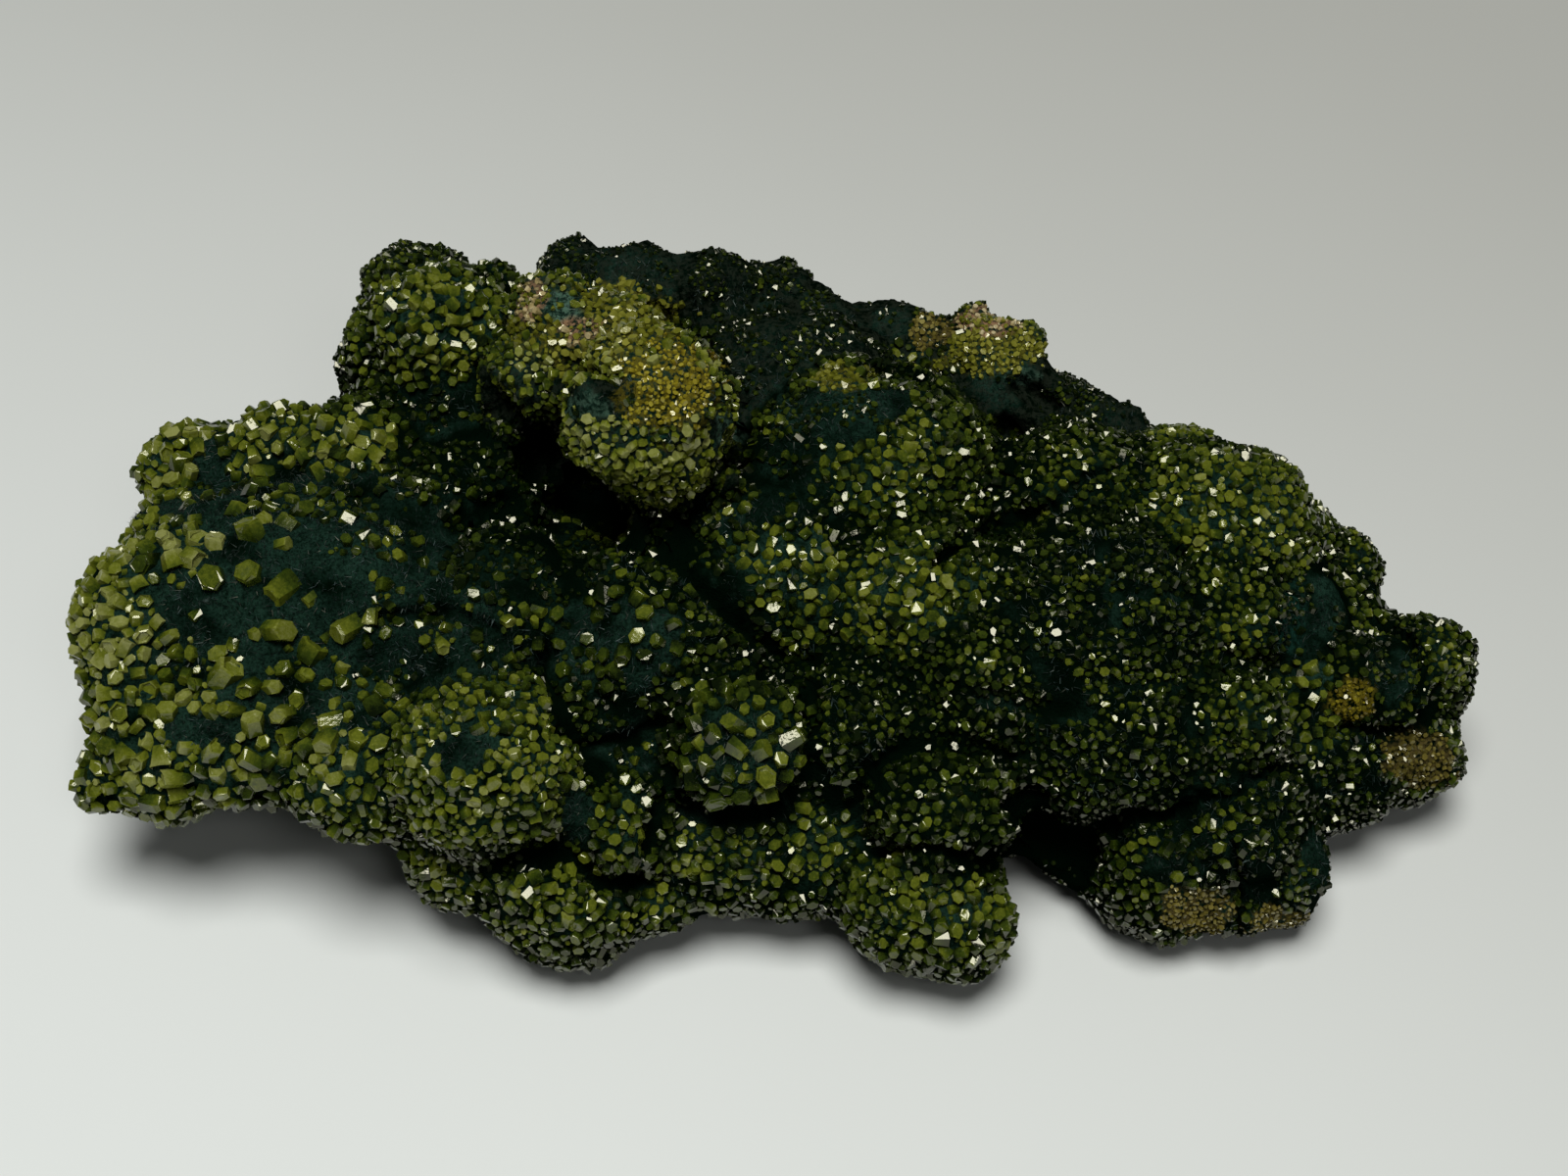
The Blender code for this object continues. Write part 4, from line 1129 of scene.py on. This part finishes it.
def place_copies(name, prototypes, kinds, centres, axes, scales, tints, rng):
    """A joined mesh of copies of the prototypes, each with its centre, axis, size and tint."""
    count = len(centres)
    rotations = turns(axes, rng.random(count) * pi / 3)
    polishes = rng.random(count) ** 2
    skews = rng.uniform(*SKEWS, count)
    tapers = rng.uniform(*TAPERS, count)
    cells = int(np.ceil(np.sqrt(count)))
    parts = []
    for kind, prototype in enumerate(prototypes):
        mine = np.flatnonzero(kinds == kind)
        shaped = np.repeat(prototype.places[None].astype(float), len(mine), axis=0)
        shaped += rng.normal(0.0, CORNER_WANDER, shaped.shape)
        shaped[:, :, 0] += skews[mine, None] * shaped[:, :, 1]
        shaped[:, :, :2] *= (1 - tapers[mine, None] * (shaped[:, :, 2] + 0.5))[:, :, None]
        shaped *= scales[mine, None]
        placed = np.einsum("nij,nvj->nvi", rotations[mine], shaped) + centres[mine, None]
        corner = np.stack([mine % cells, mine // cells], axis=1)[:, None]
        uv = (corner + CELL_MARGIN + prototype.uv[None] * (1 - 2 * CELL_MARGIN)) / cells
        parts.append((placed, prototype, mine, uv))
    return join_copies(name, parts, tints, polishes)


def grow_on(name, prototypes, kinds, seats, rng):
    """A joined mesh of crystals, one on each seat, each a copy of its kind's prototype."""
    count = len(seats.places)
    tilts = WIDEST_TILT * rng.random(count)
    leans = rng.normal(0.0, 1.0, (count, 3))
    side = unit_vectors(np.cross(leans, seats.normals))
    axes = np.cos(tilts)[:, None] * seats.normals + np.sin(tilts)[:, None] * side
    slim = rng.uniform(*SLIMNESS, count)
    tall = rng.uniform(*TALLNESS, count)
    lift = rng.uniform(*LIFTS, count)
    centres = seats.places + seats.normals * (seats.widths * lift)[:, None]
    scales = seats.widths[:, None] * np.stack([slim, 1 / slim, tall], axis=1)
    patchy = PATCHINESS * (clump_noise(seats.places, TINT_PATCH_SIZE) - 0.5)
    tints = unit(seats.tints + patchy + rng.normal(0.0, TINT_SPREAD, count))
    return place_copies(name, prototypes, kinds, centres, axes, scales, tints, rng)


def crystal_kinds(widths, rng):
    """Which prototype each crystal copies: the larger ones show more growth steps."""
    kinds = (widths > CHAMFERED_WIDTH).astype(int)
    large = np.flatnonzero(widths > STEPPED_WIDTH)
    kinds[large] = rng.integers(1, len(CRYSTAL_ENDS), len(large))
    return kinds


def bare_places(mesh, seats, count, rng):
    """Tried places on the skin that no crystal stands on, with the surface's normals there."""
    points, normals = scatter(mesh, count, rng)
    crystals = point_tree(seats.places, range(len(seats.places)))
    bare = points[:, 2] > LOWEST_FIBRE
    for i in np.flatnonzero(bare):
        _, nearest, distance = crystals.find(points[i])
        bare[i] = distance > CLEAR_OF_CRYSTALS * seats.widths[nearest]
    return points[bare], normals[bare]


def grow_nap(name, mesh, seats, look, rng):
    """The velvet's nap: fine fibres that lie matted over the bare skin."""
    points, normals = bare_places(mesh, seats, look.fibres, rng)
    _, share, tint, _, crease = cover_at(points, normals, tree_of(mesh, MILLIMETRE))
    grown = (share < NAP_MOST_SHARE) & (tint > NAP_LEAST_TINT) & (crease < NAP_DEEPEST_CREASE)
    points, normals = points[grown], normals[grown]
    count = len(points)
    leans = rng.normal(0.0, 1.0, (count, 3))
    axes = normals * rng.uniform(*FIBRE_RISES, count)[:, None] + leans * FIBRE_LEAN
    away = (axes * normals).sum(axis=1)
    axes += normals * (np.abs(away) - away + FIBRE_LEAST_RISE)[:, None]
    axes = unit_vectors(axes)
    lengths = look.fibre_length * rng.uniform(*FIBRE_LENGTHS, count)
    widths = FIBRE_WIDTH * rng.uniform(*FIBRE_WIDTHS, count)
    centres = points + axes * (lengths * FIBRE_LIFT)[:, None]
    scales = np.stack([widths, widths, lengths], axis=1)
    pale = (clump_noise(points, PALE_MAT_SIZE) > PALE_MATS) & (rng.random(count) < PALE_FIBRES)
    tints = np.where(pale, rng.uniform(*PALE_FIBRE_TINTS, count), rng.uniform(*DARK_FIBRE_TINTS, count))
    kinds = np.zeros(count, int)
    return place_copies(name, [model_fibre()], kinds, centres, axes, scales, tints, rng)


def aim(obj, target):
    """Turns a lamp or a camera towards a place."""
    obj.rotation_euler = (target - obj.location).to_track_quat("-Z", "Y").to_euler()


def add_lamp(name, energy, size, place, target):
    """A round soft lamp that shines on the target."""
    data = bpy.data.lights.new(name, "AREA")
    data.shape = "DISK"
    data.size = size
    data.energy = energy
    lamp = add_object(name, data)
    lamp.location = place
    aim(lamp, target)


def length_setting(name, description, default, low=0.0):
    """A size that a user may change, in millimetres."""
    described = f"{description}, in millimetres"
    return FloatProperty(name=name, description=described, default=default, min=low)


def share_setting(name, description, default, low=0.0, high=1.0):
    """A share or a factor that a user may change."""
    return FloatProperty(name=name, description=description, default=default, min=low, max=high)


def count_setting(name, description, default):
    return IntProperty(name=name, description=description, default=default, min=1000)


def power_setting(name, description, default):
    return FloatProperty(name=name, description=description, unit="POWER", default=default, min=0.0)


def colour_setting(name, coloured, default):
    description = f"Colour of {coloured}"
    return FloatVectorProperty(
        name=name, description=description, subtype="COLOR", default=default, min=0.0, max=1.0
    )


class MalachiteSettings(bpy.types.PropertyGroup):
    voxel: length_setting("Surface detail", "Size of the skin's quads", 0.70, 0.3)
    fillet: length_setting("Fillet", "How widely the creases between lobes are rounded", 1.5)
    crystal_room: length_setting(
        "Room for crystals", "How far the skin lies under the measured outline", 0.3
    )
    swell_size: length_setting("Swell size", "Size of the uneven swellings", 9.0, 1.0)
    swell_height: length_setting("Swell height", "Height of the uneven swellings", 0.9)
    grain_size: length_setting("Grain size", "Size of the skin's small lumps", 1.6, 0.2)
    grain_height: length_setting("Grain height", "Height of the skin's small lumps", 0.16)
    valley_depth: length_setting("Valley depth", "How much deeper the dark valleys are cut", 2.4)
    lump_size: length_setting("Lump size", "Size of the lumps of the crumpled lobes", 3.0, 0.5)
    lump_height: length_setting("Lump height", "Height of the lumps of the crumpled lobes", 1.3)
    knob_size: length_setting("Knob size", "Size of the knobbly unevenness", 4.2, 0.5)
    knob_height: length_setting("Knob height", "Height of the knobbly unevenness", 0.75)
    # Painted shade on the skin where crystals stand close.
    shade_under_crystals: share_setting(
        "Shade under crystals", "How dark the skin is where crystals stand close", 0.97
    )
    # Velvet is the lit pile; deep velvet is the dark between its fibres and also the painted shade in
    # creases, valleys, recesses and among close crystals.
    velvet: colour_setting("Velvet", "the pile where the light catches it", (0.0143, 0.0395, 0.0262))
    deep_velvet_and_shade: colour_setting("Deep velvet", "the pile between its fibres", (0.0008, 0.0036, 0.0014))
    # The pale fibre colour is partly a painted sheen of light on the fibres, as well as their own tone.
    fibre: colour_setting("Fibre", "the pale fibres in the pile", (0.058, 0.080, 0.070))
    teal: colour_setting("Teal", "the bluer bare patches", (0.013, 0.055, 0.039))
    # Pale teal is a real colour on the knob, and also the painted sheen on the support under the cap.
    pale_teal: colour_setting("Pale teal", "the pale blue-green edges", (0.074, 0.142, 0.096))
    ochre: colour_setting("Ochre ground", "the skin under ochre crusts", (0.12, 0.10, 0.010))
    yellow: colour_setting("Yellow ground", "the skin under yellow crusts", (0.08, 0.075, 0.010))
    rose: colour_setting("Rose ground", "the skin under rose crusts", (0.27, 0.16, 0.085))
    brown: colour_setting("Brown ground", "the skin under brown crusts", (0.085, 0.066, 0.020))
    dust: colour_setting("Dust", "the grey-olive dust on the crumpled lobes", (0.020, 0.026, 0.017))
    dustiness: share_setting(
        "Dustiness", "How much of the crumpled lobes' skin the dust covers", 0.55
    )


class CrystalSettings(bpy.types.PropertyGroup):
    candidates: count_setting("Seats tried", "How many seats are tried all over the skin", 260000)
    size: share_setting(
        "Size", "Share of the widths in the tables that the crystals are given", 0.92, 0.2, 2.0
    )
    width_spread: share_setting("Width spread", "How much the crystals' widths differ", 0.22)
    packing: share_setting(
        "Packing", "Least distance of two crystals over their mean width", 0.94, 0.3, 2.0
    )
    loosening: share_setting(
        "Loosening", "How much further apart crystals stand where they are few", 0.30, 0.0, 2.0
    )
    clump_size: length_setting("Clump size", "Size of the crystal clumps", 3.2, 0.2)
    fibres: count_setting(
        "Fibres tried", "How many fibres of the nap are tried over the skin", 120000
    )
    fibre_length: length_setting("Fibre length", "Usual length of the nap's fibres", 0.75, 0.1)
    deep_fibre: colour_setting("Deep fibre", "the darkest fibres", (0.003, 0.009, 0.0075))
    fibre: colour_setting("Fibre", "the middling fibres", (0.022, 0.042, 0.038))
    pale_fibre: colour_setting("Pale fibre", "the pale grey-blue fibres", (0.12, 0.165, 0.165))
    # The crystals' tints run from deep to straw; painted shade pulls them deep and painted light pales
    # them.
    deep: colour_setting("Deep olive", "the darkest crystals", (0.0028, 0.0072, 0.0008))
    olive: colour_setting("Olive", "the middling crystals", (0.034, 0.053, 0.004))
    bright: colour_setting("Yellow-green", "the bright crystals", (0.128, 0.148, 0.011))
    pale: colour_setting("Straw", "the palest crystals", (0.255, 0.268, 0.08))


class StageSettings(bpy.types.PropertyGroup):
    lens: FloatProperty(
        name="Lens", description="Focal length of the camera",
        subtype="DISTANCE_CAMERA", default=50.0, min=10.0,
    )
    key_power: power_setting("Key light", "Power of the soft light overhead", 7.75)
    fill_power: power_setting("Fill light", "Power of the low light from the front", 0.28)
    room: share_setting("Room light", "Strength of the light from all round", 0.034)
    # One board: near floor is its lit colour, far floor its colour in painted shade.
    near_floor: colour_setting("Near floor", "the plain floor at the front", (0.85, 0.885, 0.845))
    far_floor: colour_setting("Far floor", "the plain floor at the back right", (0.50, 0.505, 0.46))


class SPECIMEN_OT_grow_malachite(bpy.types.Operator):
    """Grows the malachite mass from its lobes"""

    bl_idname = "specimen.grow_malachite"
    bl_label = "Grow malachite"

    def execute(self, context):
        look = context.scene.specimen_malachite
        lobes = all_lobes()
        mass = fuse_lobes(lobes, look)
        mass.name = "malachite_mass"
        mass.data.name = mass.name
        raise_skin(mass.data, lambda places: swell(places, look.swell_height, look.swell_size))
        raise_skin(mass.data, lambda places: swell(places, look.knob_height, look.knob_size))
        apply_modifier(mass, "Soften", "SMOOTH", factor=0.5, iterations=3)
        seen = seen_points(*read_skin(mass.data), tree_of(mass.data))
        raise_skin(mass.data, lambda places: -look.valley_depth * valley_at(places, seen))
        raise_skin(mass.data, lambda places: crumple(places, lobes, look))
        raise_skin(mass.data, lambda places: swell(places, look.grain_height, look.grain_size))
        cut_base(mass)
        mass.data.shade_smooth()
        stain_and_shade_skin(mass.data, look)
        mass.data.transform(Matrix.Scale(MILLIMETRE, 4))
        mount_piece(mass, velvet_material(look))
        return {"FINISHED"}


class SPECIMEN_OT_grow_crystals(bpy.types.Operator):
    """Grows the pyromorphite crystals and their fine crusts on the malachite"""

    bl_idname = "specimen.grow_crystals"
    bl_label = "Grow crystals"

    def execute(self, context):
        look = context.scene.specimen_crystals
        mass = bpy.data.objects["malachite_mass"]
        rng = np.random.default_rng(SEED)
        seats = choose_seats(mass.data, look, rng)
        prototypes = [model_crystal(*end) for end in CRYSTAL_ENDS]
        stops = (look.deep, look.olive, look.bright, look.pale)
        olive = crystal_material("olive pyromorphite", stops, OLIVE_ROUGHNESS, PYROMORPHITE_IOR)
        plain = seats.crusts == ""
        low = -np.inf
        for name, high in BANDS:
            within = plain & (seats.places[:, 0] >= low) & (seats.places[:, 0] < high)
            band = pick(seats, within)
            kinds = crystal_kinds(band.widths, rng)
            mount_piece(grow_on(name, prototypes, kinds, band, rng), olive)
            low = high
        for crust, stops in CRUSTS.items():
            grown = pick(seats, seats.crusts == crust)
            if not len(grown.places):
                raise RuntimeError(f"no seat for the {crust} crust")
            kinds = np.zeros(len(grown.places), int)
            piece = grow_on(f"{crust}_crust", prototypes, kinds, grown, rng)
            fine = crystal_material(f"{crust} crust", stops, CRUST_ROUGHNESS, PYROMORPHITE_IOR)
            mount_piece(piece, fine)
        nap = grow_nap("velvet_nap", mass.data, seats, look, rng)
        stops = (look.deep_fibre, look.fibre, look.pale_fibre)
        matted = crystal_material("matted fibres", stops, FIBRE_ROUGHNESS, FIBRE_IOR)
        mount_piece(nap, matted)
        return {"FINISHED"}


class SPECIMEN_OT_set_stage(bpy.types.Operator):
    """Sets the floor, the lights and the camera"""

    bl_idname = "specimen.set_stage"
    bl_label = "Set the stage"

    def execute(self, context):
        look = context.scene.specimen_stage
        target = (CENTRE_SHIFT + Vector((0.0, 0.0, VIEW_HEIGHT))) * MILLIMETRE
        deselect_all()
        bpy.ops.mesh.primitive_plane_add(size=FLOOR_SIZE, location=(0.0, 0.0, 0.0))
        floor = bpy.context.active_object
        floor.name = "floor"
        floor.data.materials.append(floor_material(look))
        add_lamp("key light", look.key_power, KEY_SIZE, KEY_PLACE, target)
        add_lamp("fill light", look.fill_power, FILL_SIZE, FILL_PLACE, target)
        world = bpy.data.worlds.new("room")
        world.use_nodes = True
        background = world.node_tree.nodes["Background"]
        background.inputs["Color"].default_value = rgba(ROOM_COLOUR)
        background.inputs["Strength"].default_value = look.room
        context.scene.world = world
        camera = add_object("camera", bpy.data.cameras.new("camera"))
        camera.data.lens = look.lens
        camera.data.sensor_width = SENSOR_WIDTH
        camera.data.clip_start = NEAREST_SEEN
        camera.location = view_point() * MILLIMETRE
        aim(camera, target)
        context.scene.camera = camera
        context.scene.view_settings.view_transform = "Standard"
        return {"FINISHED"}


class SPECIMEN_PT_sidebar(bpy.types.Panel):
    bl_label = "Specimen"
    bl_space_type = "VIEW_3D"
    bl_region_type = "UI"
    bl_category = "Specimen"

    def draw(self, context):
        for operator, _, settings in STEPS:
            box = self.layout.box()
            box.operator(operator.bl_idname)
            group = getattr(context.scene, settings)
            for name in group.bl_rna.properties.keys():
                if name not in ("rna_type", "name"):
                    box.prop(group, name)


# The operators in their order, each with its settings and their name in the scene.
STEPS = (
    (SPECIMEN_OT_grow_malachite, MalachiteSettings, "specimen_malachite"),
    (SPECIMEN_OT_grow_crystals, CrystalSettings, "specimen_crystals"),
    (SPECIMEN_OT_set_stage, StageSettings, "specimen_stage"),
)
CLASSES = (*(group for _, group, _ in STEPS), *(step[0] for step in STEPS), SPECIMEN_PT_sidebar)


def register():
    for cls in CLASSES:
        bpy.utils.register_class(cls)
    for _, group, settings in STEPS:
        setattr(bpy.types.Scene, settings, PointerProperty(type=group))


def unregister():
    for _, _, settings in STEPS:
        delattr(bpy.types.Scene, settings)
    for cls in reversed(CLASSES):
        bpy.utils.unregister_class(cls)


def main():
    register()
    bpy.ops.specimen.grow_malachite()
    bpy.ops.specimen.grow_crystals()
    bpy.ops.specimen.set_stage()
    bpy.context.view_layer.update()


if __name__ == "__main__":
    main()
